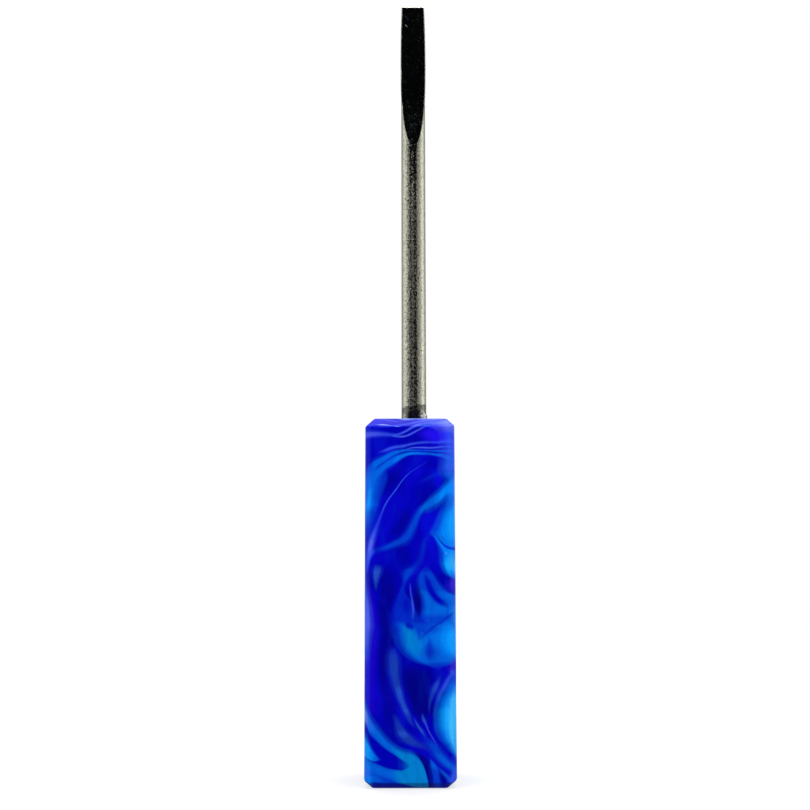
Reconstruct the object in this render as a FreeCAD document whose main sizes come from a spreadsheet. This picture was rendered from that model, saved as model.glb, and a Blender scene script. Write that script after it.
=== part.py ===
import FreeCAD, Part

import math
import os

import Sketcher

# Hand-made clay shaper: a square cast-resin handle with a round steel shank glued into its end.
#
# Frame: millimetres, +Z along the tool from the handle's butt to the ground tip.
# The origin is the centre of the butt face, and the ground flat faces -Y.

# Every driving dimension, in millimetres or degrees: the sheet's alias, its value, what it is.
SIZES = (
    ("handle_side", 22.225, "square bar, 7/8 inch"),
    ("handle_length", 88.9, "3 1/2 inch"),
    ("edge_radius", 1.6, "rounding of the four long edges"),
    ("end_bevel", 2.0, "45 degree bevel round both ends"),
    ("bore_offset", 1.1, "the socket is drilled this far off centre, towards +X"),
    ("bore_diameter", 6.75, "17/64 inch drill"),
    ("bore_depth", 65.0, "depth of the socket at full diameter"),
    ("drill_point", 118.0, "angle of a twist drill's point"),
    ("rod_diameter", 6.35, "1/4 inch rod"),
    ("rod_length", 177.8, "7 inch, end to end"),
    ("rod_reach", 114.3, "4 1/2 inch, from the handle's top to the tip"),
    ("tang_diameter", 6.1, "at the buried end, where the rod is rubbed down to a slight taper"),
    ("tang_bevel", 0.5, "bevel at the buried end"),
    ("tip_bevel", 0.3, "bevel round the tip's end face"),
    ("tip_thickness", 1.8, "steel left behind the flat at the tip"),
    ("flat_length", 25.0, "plane stretch of the ground flat"),
    ("flat_angle", 4.75, "slope of the plane stretch to the rod's axis"),
    ("ramp_angle", 8.8, "slope of the ramp where the flat runs out"),
    ("hollow_radius", 80.0, "hollow between the plane stretch and the ramp"),
    ("waste_margin", 2.0, "how far the ground-away region reaches past the rod"),
    ("collar_height", 3.1, "how far the squeezed-out adhesive climbs the rod"),
    ("film_at_foot", 0.2, "thickness of the adhesive on the rod just above the fillet"),
    ("film_at_lip", 0.08, "thickness of the adhesive on the rod just under the lip"),
    ("collar_lip", 0.3, "height over which the collar's top edge thins to nothing"),
    ("foot_height", 0.9, "height of the fillet at the collar's foot"),
    ("foot_reach", 0.8, "reach of that fillet over the handle's end face"),
)

ON_AXIS = "0"


def make_sheet(doc):
    """The spreadsheet that drives every size."""
    sheet = doc.addObject("Spreadsheet::Sheet", "sizes")
    for row, (alias, value, meaning) in enumerate(SIZES, start=1):
        sheet.set(f"A{row}", alias)
        sheet.set(f"B{row}", str(value))
        sheet.set(f"C{row}", meaning)
        sheet.setAlias(f"B{row}", alias)
    doc.recompute()
    return sheet


def value_of(sheet, expression):
    """What an expression over the sheet comes to now."""
    result = sheet.evalExpression(expression)
    return float(getattr(result, "Value", result))


def make_body(doc, name):
    body = doc.addObject("PartDesign::Body", name)
    body.Label = name
    return body


def make_sketch(body, name, role):
    """A sketch on one of the body's own origin planes, such as XY_Plane."""
    sketch = body.newObject("Sketcher::SketchObject", name)
    plane = next(item for item in body.Origin.OriginFeatures if item.Role == role)
    sketch.AttachmentSupport = [(plane, "")]
    sketch.MapMode = "FlatFace"
    return sketch


def add_sized(sketch, sheet, kind, where, expression):
    """A constraint whose size follows an expression over the sheet."""
    start = value_of(sheet, expression)
    if kind == "Angle":
        start = math.radians(start)
        expression = f"({expression}) * 1 deg"
    index = sketch.addConstraint(Sketcher.Constraint(kind, *where, start))
    sketch.setExpression(f"Constraints[{index}]", expression)


def place_point(sketch, sheet, edge, end, across, along):
    """Fix one end of an edge at two coordinates, each an expression or ON_AXIS."""
    for kind, size, axis in (("DistanceX", across, -2), ("DistanceY", along, -1)):
        if size == ON_AXIS:
            sketch.addConstraint(Sketcher.Constraint("PointOnObject", edge, end, axis))
        elif value_of(sheet, size) < 0:
            add_sized(sketch, sheet, kind, (edge, end, -1, 1), f"-({size})")
        else:
            add_sized(sketch, sheet, kind, (-1, 1, edge, end), size)


def add_outline(sketch, sheet, corners):
    """A closed outline of straight edges, each corner at two expressions over the sheet."""
    first = sketch.GeometryCount
    count = len(corners)
    points = []
    for across, along in corners:
        points.append(FreeCAD.Vector(value_of(sheet, across), value_of(sheet, along), 0))
    for here in range(count):
        sketch.addGeometry(Part.LineSegment(points[here], points[(here + 1) % count]), False)
    for here in range(count):
        after = (here + 1) % count
        sketch.addConstraint(Sketcher.Constraint("Coincident", first + here, 2, first + after, 1))
    for here, (across, along) in enumerate(corners):
        place_point(sketch, sheet, first + here, 1, across, along)


def revolve(body, name, sketch):
    """Turn a half profile drawn on the XZ plane a full circle about Z."""
    feature = body.newObject("PartDesign::Revolution", name)
    feature.Profile = sketch
    feature.ReferenceAxis = (sketch, ["V_Axis"])
    feature.Angle = 360.0
    return feature


def pocket_through(body, name, sketch):
    """Cut a sketch right through the body, both ways from its plane."""
    feature = body.newObject("PartDesign::Pocket", name)
    feature.Profile = sketch
    feature.Type = "ThroughAll"
    feature.Midplane = True
    return feature


def must_shrink(doc, body, before, what):
    """A cut that points away from the solid removes nothing and shows no error."""
    doc.recompute()
    after = body.Shape.Volume
    if not after < before:
        raise RuntimeError(f"{what} removed nothing")
    return after


def make_handle(doc, sheet):
    """Square resin bar: rounded long edges, bevelled ends, and a drilled socket in the top."""
    body = make_body(doc, "handle")

    half = "sizes.handle_side / 2"
    square = make_sketch(body, "handle_section", "XY_Plane")
    corners = [(f"-{half}", f"-{half}"), (half, f"-{half}"), (half, half), (f"-{half}", half)]
    add_outline(square, sheet, corners)
    bar = body.newObject("PartDesign::Pad", "handle_bar")
    bar.Profile = square
    bar.setExpression("Length", "sizes.handle_length")
    doc.recompute()

    long_edges = []
    for index, edge in enumerate(bar.Shape.Edges, start=1):
        if abs(edge.tangentAt(edge.FirstParameter).z) > 0.99:
            long_edges.append(f"Edge{index}")
    rounding = body.newObject("PartDesign::Fillet", "long_edge_rounding")
    rounding.Base = (bar, long_edges)
    rounding.setExpression("Radius", "sizes.edge_radius")
    volume = must_shrink(doc, body, bar.Shape.Volume, "the long edges' rounding")

    top = "sizes.handle_length"
    bevel = "sizes.end_bevel"
    for name, role in (("front", "XZ_Plane"), ("side", "YZ_Plane")):
        view = make_sketch(body, f"{name}_bevels", role)
        for sign in ("", "-"):
            out = f"{sign}{half}"
            into = f"{sign}({half} - {bevel})"
            add_outline(view, sheet, [(out, ON_AXIS), (out, bevel), (into, ON_AXIS)])
            add_outline(view, sheet, [(out, top), (into, top), (out, f"{top} - {bevel}")])
        pocket_through(body, f"{name}_bevel_cut", view)
        volume = must_shrink(doc, body, volume, f"the {name} bevels")

    centre = make_sketch(body, "socket_centre", "XY_Plane")
    centre.setExpression(".AttachmentOffset.Base.z", "sizes.handle_length")
    centre.addGeometry(Part.Circle(FreeCAD.Vector(0, 0, 0), FreeCAD.Vector(0, 0, 1), 1.0), False)
    centre.addConstraint(Sketcher.Constraint("PointOnObject", 0, 3, -1))
    add_sized(centre, sheet, "DistanceX", (-1, 1, 0, 3), "sizes.bore_offset")
    add_sized(centre, sheet, "Diameter", (0,), "sizes.bore_diameter")
    doc.recompute()
    socket = body.newObject("PartDesign::Hole", "socket")
    socket.Profile = centre
    doc.recompute()
    socket.DepthType = "Dimension"
    socket.DrillPoint = "Angled"
    socket.setExpression("Diameter", "sizes.bore_diameter")
    socket.setExpression("Depth", "sizes.bore_depth")
    socket.setExpression("DrillPointAngle", "sizes.drill_point * 1 deg")
    must_shrink(doc, body, volume, "the socket")
    return body


def make_flat_profile(body, sheet):
    """Side view of the steel ground away at the tip, from the ramp's foot round to the end face."""
    sketch = make_sketch(body, "ground_away", "YZ_Plane")
    flat_angle = math.radians(sheet.flat_angle)
    ramp_angle = math.radians(sheet.ramp_angle)
    rod_radius = sheet.rod_diameter / 2
    front = -(rod_radius + sheet.waste_margin)

    tip = FreeCAD.Vector(rod_radius - sheet.tip_thickness, sheet.rod_length, 0)
    down_flat = FreeCAD.Vector(-math.sin(flat_angle), -math.cos(flat_angle), 0)
    down_ramp = FreeCAD.Vector(-math.sin(ramp_angle), -math.cos(ramp_angle), 0)
    flat_foot = tip + down_flat * sheet.flat_length
    to_centre = FreeCAD.Vector(-math.cos(flat_angle), math.sin(flat_angle), 0)
    centre = flat_foot + to_centre * sheet.hollow_radius
    from_centre = FreeCAD.Vector(math.cos(ramp_angle), -math.sin(ramp_angle), 0)
    ramp_top = centre + from_centre * sheet.hollow_radius
    ramp_foot = ramp_top + down_ramp * ((front - ramp_top.x) / down_ramp.x)
    outer_top = FreeCAD.Vector(front, sheet.rod_length, 0)

    circle = Part.Circle(centre, FreeCAD.Vector(0, 0, 1), sheet.hollow_radius)
    ramp, hollow, flat, top, outer = range(5)
    sketch.addGeometry(Part.LineSegment(ramp_foot, ramp_top), False)
    sketch.addGeometry(Part.ArcOfCircle(circle, -ramp_angle, -flat_angle), False)
    sketch.addGeometry(Part.LineSegment(flat_foot, tip), False)
    sketch.addGeometry(Part.LineSegment(tip, outer_top), False)
    sketch.addGeometry(Part.LineSegment(outer_top, ramp_foot), False)

    sketch.addConstraint(Sketcher.Constraint("Tangent", ramp, 2, hollow, 1))
    sketch.addConstraint(Sketcher.Constraint("Tangent", hollow, 2, flat, 1))
    for edge, after in ((flat, top), (top, outer), (outer, ramp)):
        sketch.addConstraint(Sketcher.Constraint("Coincident", edge, 2, after, 1))
    sketch.addConstraint(Sketcher.Constraint("Horizontal", top))
    sketch.addConstraint(Sketcher.Constraint("Vertical", outer))
    add_sized(sketch, sheet, "Radius", (hollow,), "sizes.hollow_radius")
    add_sized(sketch, sheet, "Angle", (flat,), "90 - sizes.flat_angle")
    add_sized(sketch, sheet, "Angle", (ramp,), "90 - sizes.ramp_angle")
    add_sized(sketch, sheet, "Distance", (flat,), "sizes.flat_length")
    tip_across = "sizes.rod_diameter / 2 - sizes.tip_thickness"
    place_point(sketch, sheet, flat, 2, tip_across, "sizes.rod_length")
    outer_across = "sizes.rod_diameter / 2 + sizes.waste_margin"
    add_sized(sketch, sheet, "DistanceX", (outer, 1, -1, 1), outer_across)
    return sketch


def make_shank(doc, sheet):
    """Round rod with a tapered tang below and a flat ground on its -Y side at the tip.

    The body's own origin is the centre of the buried end.
    """
    body = make_body(doc, "shank")
    rod = "sizes.rod_diameter / 2"
    tang = "sizes.tang_diameter / 2"
    tang_top = "sizes.rod_length - sizes.rod_reach + sizes.collar_height"
    profile = make_sketch(body, "rod_half_profile", "XZ_Plane")
    corners = [
        (ON_AXIS, ON_AXIS),
        (f"{tang} - sizes.tang_bevel", ON_AXIS),
        (tang, "sizes.tang_bevel"),
        (rod, tang_top),
        (rod, "sizes.rod_length - sizes.tip_bevel"),
        (f"{rod} - sizes.tip_bevel", "sizes.rod_length"),
        (ON_AXIS, "sizes.rod_length"),
    ]
    add_outline(profile, sheet, corners)
    revolve(body, "rod", profile)
    doc.recompute()
    whole = body.Shape.Volume

    pocket_through(body, "ground_flat", make_flat_profile(body, sheet))
    must_shrink(doc, body, whole, "the ground flat")

    body.setExpression(".Placement.Base.x", "sizes.bore_offset")
    buried_end = "sizes.handle_length + sizes.rod_reach - sizes.rod_length"
    body.setExpression(".Placement.Base.z", buried_end)
    return body


def make_adhesive(doc, sheet):
    """Cured epoxy that fills the socket round and below the tang, with a collar at the mouth.

    The body's own origin is the centre of the socket's mouth.
    """
    body = make_body(doc, "adhesive")
    rod = "sizes.rod_diameter / 2"
    tang = "sizes.tang_diameter / 2"
    socket = "sizes.bore_diameter / 2"
    floor = "-sizes.bore_depth"
    tang_end = "sizes.rod_reach - sizes.rod_length"
    profile = make_sketch(body, "adhesive_half_profile", "XZ_Plane")
    corners = [
        (ON_AXIS, f"{floor} - {socket} / tan(sizes.drill_point * 1 deg / 2)"),
        (socket, floor),
        (socket, ON_AXIS),
        (f"{rod} + sizes.foot_reach", ON_AXIS),
        (f"{rod} + sizes.film_at_foot", "sizes.foot_height"),
        (f"{rod} + sizes.film_at_lip", "sizes.collar_height - sizes.collar_lip"),
        (rod, "sizes.collar_height"),
        (tang, f"{tang_end} + sizes.tang_bevel"),
        (f"{tang} - sizes.tang_bevel", tang_end),
        (ON_AXIS, tang_end),
    ]
    add_outline(profile, sheet, corners)
    revolve(body, "adhesive_fill", profile)

    body.setExpression(".Placement.Base.x", "sizes.bore_offset")
    body.setExpression(".Placement.Base.z", "sizes.handle_length")
    return body


def check_document(doc, bodies):
    """Stop on any feature that failed to build, and on any solid that isn't sound."""
    for item in doc.Objects:
        if {"Invalid", "Error"} & set(item.State):
            raise RuntimeError(f"{item.Label} failed: {item.State}")
    for body in bodies:
        shape = body.Shape
        if shape.isNull() or not shape.isValid() or len(shape.Solids) != 1:
            raise RuntimeError(f"{body.Label} isn't one valid solid")


def write_parts(bodies):
    os.makedirs("parts", exist_ok=True)
    for body in bodies:
        body.Shape.exportStep(f"parts/{body.Label}.step")


def main():
    doc = FreeCAD.newDocument("clay_shaper")
    sheet = make_sheet(doc)
    bodies = [make_handle(doc, sheet), make_shank(doc, sheet), make_adhesive(doc, sheet)]
    doc.recompute()
    check_document(doc, bodies)
    write_parts(bodies)


main()
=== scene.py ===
import math

import bpy
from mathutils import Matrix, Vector, noise


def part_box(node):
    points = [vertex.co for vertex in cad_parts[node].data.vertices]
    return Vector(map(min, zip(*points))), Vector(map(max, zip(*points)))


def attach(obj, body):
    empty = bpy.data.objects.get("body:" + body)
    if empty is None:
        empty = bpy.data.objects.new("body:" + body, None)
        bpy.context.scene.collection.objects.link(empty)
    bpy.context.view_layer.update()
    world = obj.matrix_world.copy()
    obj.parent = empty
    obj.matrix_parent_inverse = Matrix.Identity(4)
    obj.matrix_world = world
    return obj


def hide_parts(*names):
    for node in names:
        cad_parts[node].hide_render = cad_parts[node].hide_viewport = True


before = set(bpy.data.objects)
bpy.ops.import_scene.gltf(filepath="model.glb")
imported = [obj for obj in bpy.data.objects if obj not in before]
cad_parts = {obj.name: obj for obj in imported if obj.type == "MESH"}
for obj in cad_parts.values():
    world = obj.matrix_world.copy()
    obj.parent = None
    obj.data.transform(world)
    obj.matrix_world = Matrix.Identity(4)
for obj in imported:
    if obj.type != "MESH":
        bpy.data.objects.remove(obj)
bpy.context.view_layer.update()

MM = 0.001                       # one millimetre in the scene's metres


# ---------------------------------------------------------------- sizes, in mm
# The outer ones come from the frame, and the inner ones are those of the CAD model.

def box_mm(node):
    """A CAD node's lowest and highest corners, in millimetres."""
    return tuple(Vector(corner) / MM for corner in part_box(node))


HANDLE_LOW, HANDLE_HIGH = box_mm("handle")
SHANK_LOW, SHANK_HIGH = box_mm("shank")
ADHESIVE_LOW, ADHESIVE_HIGH = box_mm("adhesive")

HALF = (HANDLE_HIGH.x - HANDLE_LOW.x) / 2
SIDE = 2 * HALF
LENGTH = HANDLE_HIGH.z
ROD_X = (SHANK_LOW.x + SHANK_HIGH.x) / 2
ROD_R = (SHANK_HIGH.x - SHANK_LOW.x) / 2
ROD_TIP = SHANK_HIGH.z
ROD_END = SHANK_LOW.z
COLLAR_TOP = ADHESIVE_HIGH.z
FOOT_R = (ADHESIVE_HIGH.x - ADHESIVE_LOW.x) / 2

EDGE_RADIUS = 1.6                # rounding of the handle's long edges
BORE_R = 3.375                   # the drilled socket
BORE_FLOOR = LENGTH - 65.0
BORE_POINT = ADHESIVE_LOW.z
TANG_R = 3.05                    # the buried end of the rod
TANG_BEVEL = 0.5
TIP_THICKNESS = 1.8              # steel behind the flat at the tip
FLAT_LENGTH = 25.0               # plane stretch of the ground flat, along the flat
FLAT_ANGLE = math.radians(4.75)
RAMP_ANGLE = math.radians(8.8)
HOLLOW_RADIUS = 80.0


# ---------------------------------------------------------------- mesh helpers

def mesh_piece(name, rings, material, sharp_degrees=50.0):
    """A closed piece through rings of points in mm, each ring with the same count.

    Each end is closed with a fan to the middle of its ring. Points go anticlockwise seen from above.
    """
    count = len(rings[0])
    points = [point for ring in rings for point in ring]
    faces = []
    for level in range(len(rings) - 1):
        low, high = level * count, (level + 1) * count
        for here in range(count):
            after = (here + 1) % count
            faces.append((low + here, low + after, high + after, high + here))
    for ring_start, flip in ((0, True), (len(points) - count, False)):
        ring = points[ring_start:ring_start + count]
        points.append(sum(ring, Vector()) / count)
        middle = len(points) - 1
        for here in range(count):
            after = (here + 1) % count
            fan = (ring_start + here, ring_start + after, middle)
            faces.append(fan[::-1] if flip else fan)
    mesh = bpy.data.meshes.new(name)
    mesh.from_pydata([point * MM for point in points], [], faces)
    mesh.validate()
    mesh.polygons.foreach_set("use_smooth", [True] * len(mesh.polygons))
    mesh.set_sharp_from_angle(angle=math.radians(sharp_degrees))
    mesh.materials.append(material)
    piece = bpy.data.objects.new(name, mesh)
    bpy.context.scene.collection.objects.link(piece)
    return piece


def wobble(point, size, amount, seed=0.0):
    """Smooth noise between 0 and amount, with features about size mm across."""
    shifted = Vector(point) / size + Vector((seed, 1.7 * seed, 0.3 * seed))
    return amount * min(1.0, max(0.0, 0.5 + 0.6 * noise.noise(shifted)))


def blend(start, end, share):
    """From start to end, straight, as share goes from 0 to 1."""
    return start + (end - start) * share


def smoothstep(low, high, value):
    """From 0 to 1, smoothly, as value goes from low to high."""
    share = min(1.0, max(0.0, (value - low) / (high - low)))
    return share * share * (3.0 - 2.0 * share)


# ---------------------------------------------------------------- node helpers

class Graph:
    """A node tree, with short calls for the nodes that the materials here use."""

    def __init__(self, tree):
        self.tree = tree
        self.tree.nodes.clear()

    @classmethod
    def of_material(cls, name):
        """A new material's tree, with its shader and output."""
        material = bpy.data.materials.new(name)
        material.use_nodes = True
        graph = cls(material.node_tree)
        graph.material = material
        graph.shader = graph.node("ShaderNodeBsdfPrincipled")
        graph.node("ShaderNodeOutputMaterial", {"Surface": graph.shader.outputs[0]})
        return graph

    @classmethod
    def of_group(cls, name, inputs, output):
        """A node group. inputs and output are (name, socket type). Returns it and its inputs."""
        tree = bpy.data.node_groups.new(name, "ShaderNodeTree")
        graph = cls(tree)
        for socket_name, kind in inputs:
            tree.interface.new_socket(socket_name, in_out="INPUT", socket_type=kind)
        output_name, output_kind = output
        tree.interface.new_socket(output_name, in_out="OUTPUT", socket_type=output_kind)
        return graph, graph.node("NodeGroupInput").outputs

    def feed(self, socket, value):
        """Link a socket, or set its value."""
        if isinstance(value, bpy.types.NodeSocket):
            self.tree.links.new(value, socket)
        else:
            socket.default_value = value

    def node(self, kind, inputs=(), **settings):
        """A node with some of its inputs fed and some of its settings made."""
        made = self.tree.nodes.new(kind)
        for key, value in settings.items():
            setattr(made, key, value)
        for key, value in dict(inputs).items():
            self.feed(made.inputs[key], value)
        return made

    def place(self):
        """Where the shaded point is, in mm in the CAD model's frame."""
        where = self.node("ShaderNodeTexCoord").outputs["Object"]
        return self.node("ShaderNodeVectorMath", {0: where, "Scale": 1 / MM}, operation="SCALE").outputs[0]

    def math(self, operation, *values):
        return self.node("ShaderNodeMath", dict(enumerate(values)), operation=operation).outputs[0]

    def plus(self, first, second):
        return self.math("ADD", first, second)

    def minus(self, first, second):
        return self.math("SUBTRACT", first, second)

    def times(self, first, second):
        return self.math("MULTIPLY", first, second)

    def divide(self, first, second):
        return self.math("DIVIDE", first, second)

    def times_plus(self, first, second, third):
        """first times second, and then plus third."""
        return self.math("MULTIPLY_ADD", first, second, third)

    def vector(self, operation, *values):
        made = self.node("ShaderNodeVectorMath", dict(enumerate(values)), operation=operation)
        return made.outputs["Value" if operation == "LENGTH" else "Vector"]

    def split(self, vector):
        return tuple(self.node("ShaderNodeSeparateXYZ", {0: vector}).outputs)

    def join(self, x, y, z):
        return self.node("ShaderNodeCombineXYZ", {0: x, 1: y, 2: z}).outputs[0]

    def noise(self, where, scale, detail=2.0, roughness=0.5, distortion=0.0, colour=False):
        made = self.node("ShaderNodeTexNoise", {
            "Vector": where, "Scale": scale, "Detail": detail,
            "Roughness": roughness, "Distortion": distortion})
        return made.outputs["Color" if colour else "Fac"]

    def step(self, value, low, high, start=0.0, end=1.0):
        """Smoothly from start to end as value goes from low to high."""
        return self.node("ShaderNodeMapRange", {
            "Value": value, "From Min": low, "From Max": high, "To Min": start, "To Max": end,
        }, interpolation_type="SMOOTHSTEP").outputs[0]

    def step_linear(self, value, low, high):
        """Straight from 0 to 1 as value goes from low to high, and on beyond them."""
        return self.node("ShaderNodeMapRange", {
            "Value": value, "From Min": low, "From Max": high}, clamp=False).outputs[0]

    def ramp(self, value, stops, interpolation="LINEAR"):
        """A colour ramp through (place, colour) stops. Returns its colour and its alpha."""
        made = self.node("ShaderNodeValToRGB", {0: value})
        made.color_ramp.interpolation = interpolation
        elements = made.color_ramp.elements
        while len(elements) > 1:
            elements.remove(elements[-1])
        elements[0].position = stops[0][0]
        elements[0].color = stops[0][1]
        for place, colour in stops[1:]:
            elements.new(place).color = colour
        return made.outputs["Color"], made.outputs["Alpha"]

    def curve(self, value, points):
        """A smooth curve through (value, result) points, all between 0 and 1."""
        made = self.node("ShaderNodeFloatCurve", {"Value": value})
        line = made.mapping.curves[0]
        while len(line.points) < len(points):
            line.points.new(0.5, 0.5)
        for handle, (place, result) in zip(line.points, points):
            handle.location = (place, result)
        made.mapping.update()
        return made.outputs[0]

    def vein(self, canvas, along, across, rows, fades):
        """Lay one swirl of pigment over a colour, as a node group of its own.

        along is a point's place along the swirl, in mm. across is (share, lowest, highest): its place
        across, as a share of the way between two places in mm. Each row is (place along, low edge,
        high edge, pigment, strength). fades has the shares of the width over which each edge fades.
        """
        group, given = Graph.of_group("swirl", (
            ("canvas", "NodeSocketColor"), ("along", "NodeSocketFloat"), ("across", "NodeSocketFloat")),
            ("colour", "NodeSocketColor"))
        start, end = rows[0][0], rows[-1][0]
        lead = math.copysign(VEIN_LEAD, end - start)
        share = group.step_linear(given["along"], start - lead, end + lead)
        places = [(row[0] - start + lead) / (end - start + 2 * lead) for row in rows]
        lowest, highest = across[1:]
        edges = []
        for side in (1, 2):
            marks = [(row[side] - lowest) / (highest - lowest) for row in rows]
            edges.append(group.curve(share, list(zip(places, marks))))
        width = sum(row[2] - row[1] for row in rows) / len(rows)
        outside = min(HALO_SHARE, HALO_WIDTH / width)
        halo, body = outside / (1 + 2 * outside), 1 / (1 + 2 * outside)
        over = group.times_plus(group.step_linear(given["across"], *edges), body, halo)
        pigments = [(place, srgb(*PIGMENTS[row[3]], row[4])) for place, row in zip(places, rows)]
        colour, strength = group.ramp(share, [
            (0.0, (*pigments[0][1][:3], 0.0)), *pigments, (1.0, (*pigments[-1][1][:3], 0.0))])
        _, cover = group.ramp(over, [
            (0.0, CLEAR), (halo, HAZE), (halo + fades[0] * body, WHITE),
            (1 - halo - fades[1] * body, WHITE), (1 - halo, HAZE), (1.0, CLEAR)], "EASE")
        laid = group.mix(group.times(strength, cover), given["canvas"], colour)
        group.node("NodeGroupOutput", {0: laid})
        placed = {"canvas": canvas, "along": along, "across": across[0]}
        return self.node("ShaderNodeGroup", placed, node_tree=group.tree).outputs[0]

    def mix(self, share, first, second, kind="MIX"):
        return self.node("ShaderNodeMix", {0: share, 6: first, 7: second},
                         data_type="RGBA", blend_type=kind).outputs[2]

    def bump(self, height, distance, strength=1.0):
        """distance is the height in mm that a height of 1 stands for."""
        return self.node("ShaderNodeBump", {
            "Height": height, "Distance": distance * MM, "Strength": strength}).outputs[0]

    def finish(self, **sockets):
        """Set or link the shader's own sockets. Underscores stand for spaces."""
        for key, value in sockets.items():
            self.feed(self.shader.inputs[key.replace("_", " ")], value)
        return self.material


def srgb(red, green, blue, alpha=1.0):
    """A colour given in 0 to 255 display values, as linear light."""
    linear = []
    for value in (red, green, blue):
        share = value / 255
        linear.append(share / 12.92 if share <= 0.04045 else ((share + 0.055) / 1.055) ** 2.4)
    return (*linear, alpha)


# ---------------------------------------------------------------- materials

CLEAR = (1.0, 1.0, 1.0, 0.0)
WHITE = (1.0, 1.0, 1.0, 1.0)
HAZE = (1.0, 1.0, 1.0, 0.2)      # how strongly a swirl tints its surroundings, at its edge
HALO_WIDTH = 0.7                 # mm that this haze reaches outside each edge
HALO_SHARE = 0.33                # and at most this share of the swirl's width
VEIN_LEAD = 0.8                  # mm over which each end of a swirl fades in

# Each pigment's colour, in 0 to 255 display values.
PIGMENTS = {
    "ink": (0, 0, 95),
    "navy": (0, 0, 126),
    "ultramarine": (0, 0, 178),
    "royal": (4, 8, 207),
    "violet_blue": (24, 0, 196),
    "violet": (50, 24, 200),
    "iris": (34, 14, 236),
    "veil": (56, 92, 238),
    "lavender": (80, 102, 235),
    "mist": (34, 62, 216),
    "glint": (140, 165, 250),
    "deep_azure": (0, 38, 190),
    "mid_azure": (0, 66, 202),
    "azure": (0, 95, 216),
    "bright_azure": (0, 124, 238),
    "cyan": (6, 154, 250),
    "pale_cyan": (62, 190, 255),
    "teal": (0, 124, 205),
    "slate": (22, 60, 172),
    "pale_slate": (38, 86, 198),
}

# A swirl is (fades, row, row, ...). Its fades are the shares of its width over which its low and its
# high edge fade out. Each row is (place along it, low edge, high edge, pigment, strength), in mm, and
# a row that leaves out its pigment or strength keeps that of the row before.
#
# Swirls that run up and down have heights along them, and a left and a right edge.
UPRIGHT_FIELDS = (
    ((0.25, 0.3), (52, -6.5, -3.5, "navy", 0.1), (47, -7.6, -2.6, 0.7), (41, -7.9, -4.2, 0.8),
     (35, -7.5, -3.1), (29, -8, -5.5, 0.7), (23, -7.7, -4, 0.6), (17, -6.4, -3, 0.5), (13, -4.9, -3, 0)),
    ((0.3, 0.3), (28.5, -3, 6.8, "navy", 0.3), (26.5, -2.8, 6.2, 0.9), (24, -2.4, 5.6, 1), (21, -1.2, 5.2),
     (18, -0.3, 5.2, 0.9), (15.5, 1.2, 4.2, 0.4)),
    ((0.3, 0.35), (47, -10.5, -8.7, "violet_blue", 0.4), (42, -9.8, -8.1, 0.7), (36, -9.6, -7.8, 0.8),
     (30, -10.6, -8.1), (24, -10.9, -8.2), (17.5, -10.4, -7.6, 0.6)),
    ((0.3, 0.3), (86.6, 4, 11.8, "iris", 0.5), (84.8, 2, 11.8, 1), (83, 4, 11.8, 0.7)),
    ((0.4, 0.4), (76.2, 4.5, 8.2, "royal", 0.2), (74, 5, 8.6, 1), (71.5, 5.6, 8.4, 0.6)),
    ((0.3, 0.3), (66.5, 6, 8.2, "royal", 0.3), (64.5, 2.4, 8.4, 0.8), (61.5, 2.2, 7.6), (57.5, 4, 8, 0.6),
     (51, 6.2, 8.6, 0.4)),
    ((0.3, 0.4), (77, -4.8, -1, "navy", 0.2), (74, -6.2, -2.2, 0.6), (70, -7.4, -4.4, 0.3)),
    ((0.4, 0.4), (66, -2.8, 0.8, "navy", 0.2), (63, -3.6, 0.4, 0.7), (60.5, -5.5, -1.5, 0.4)),
)

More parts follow.
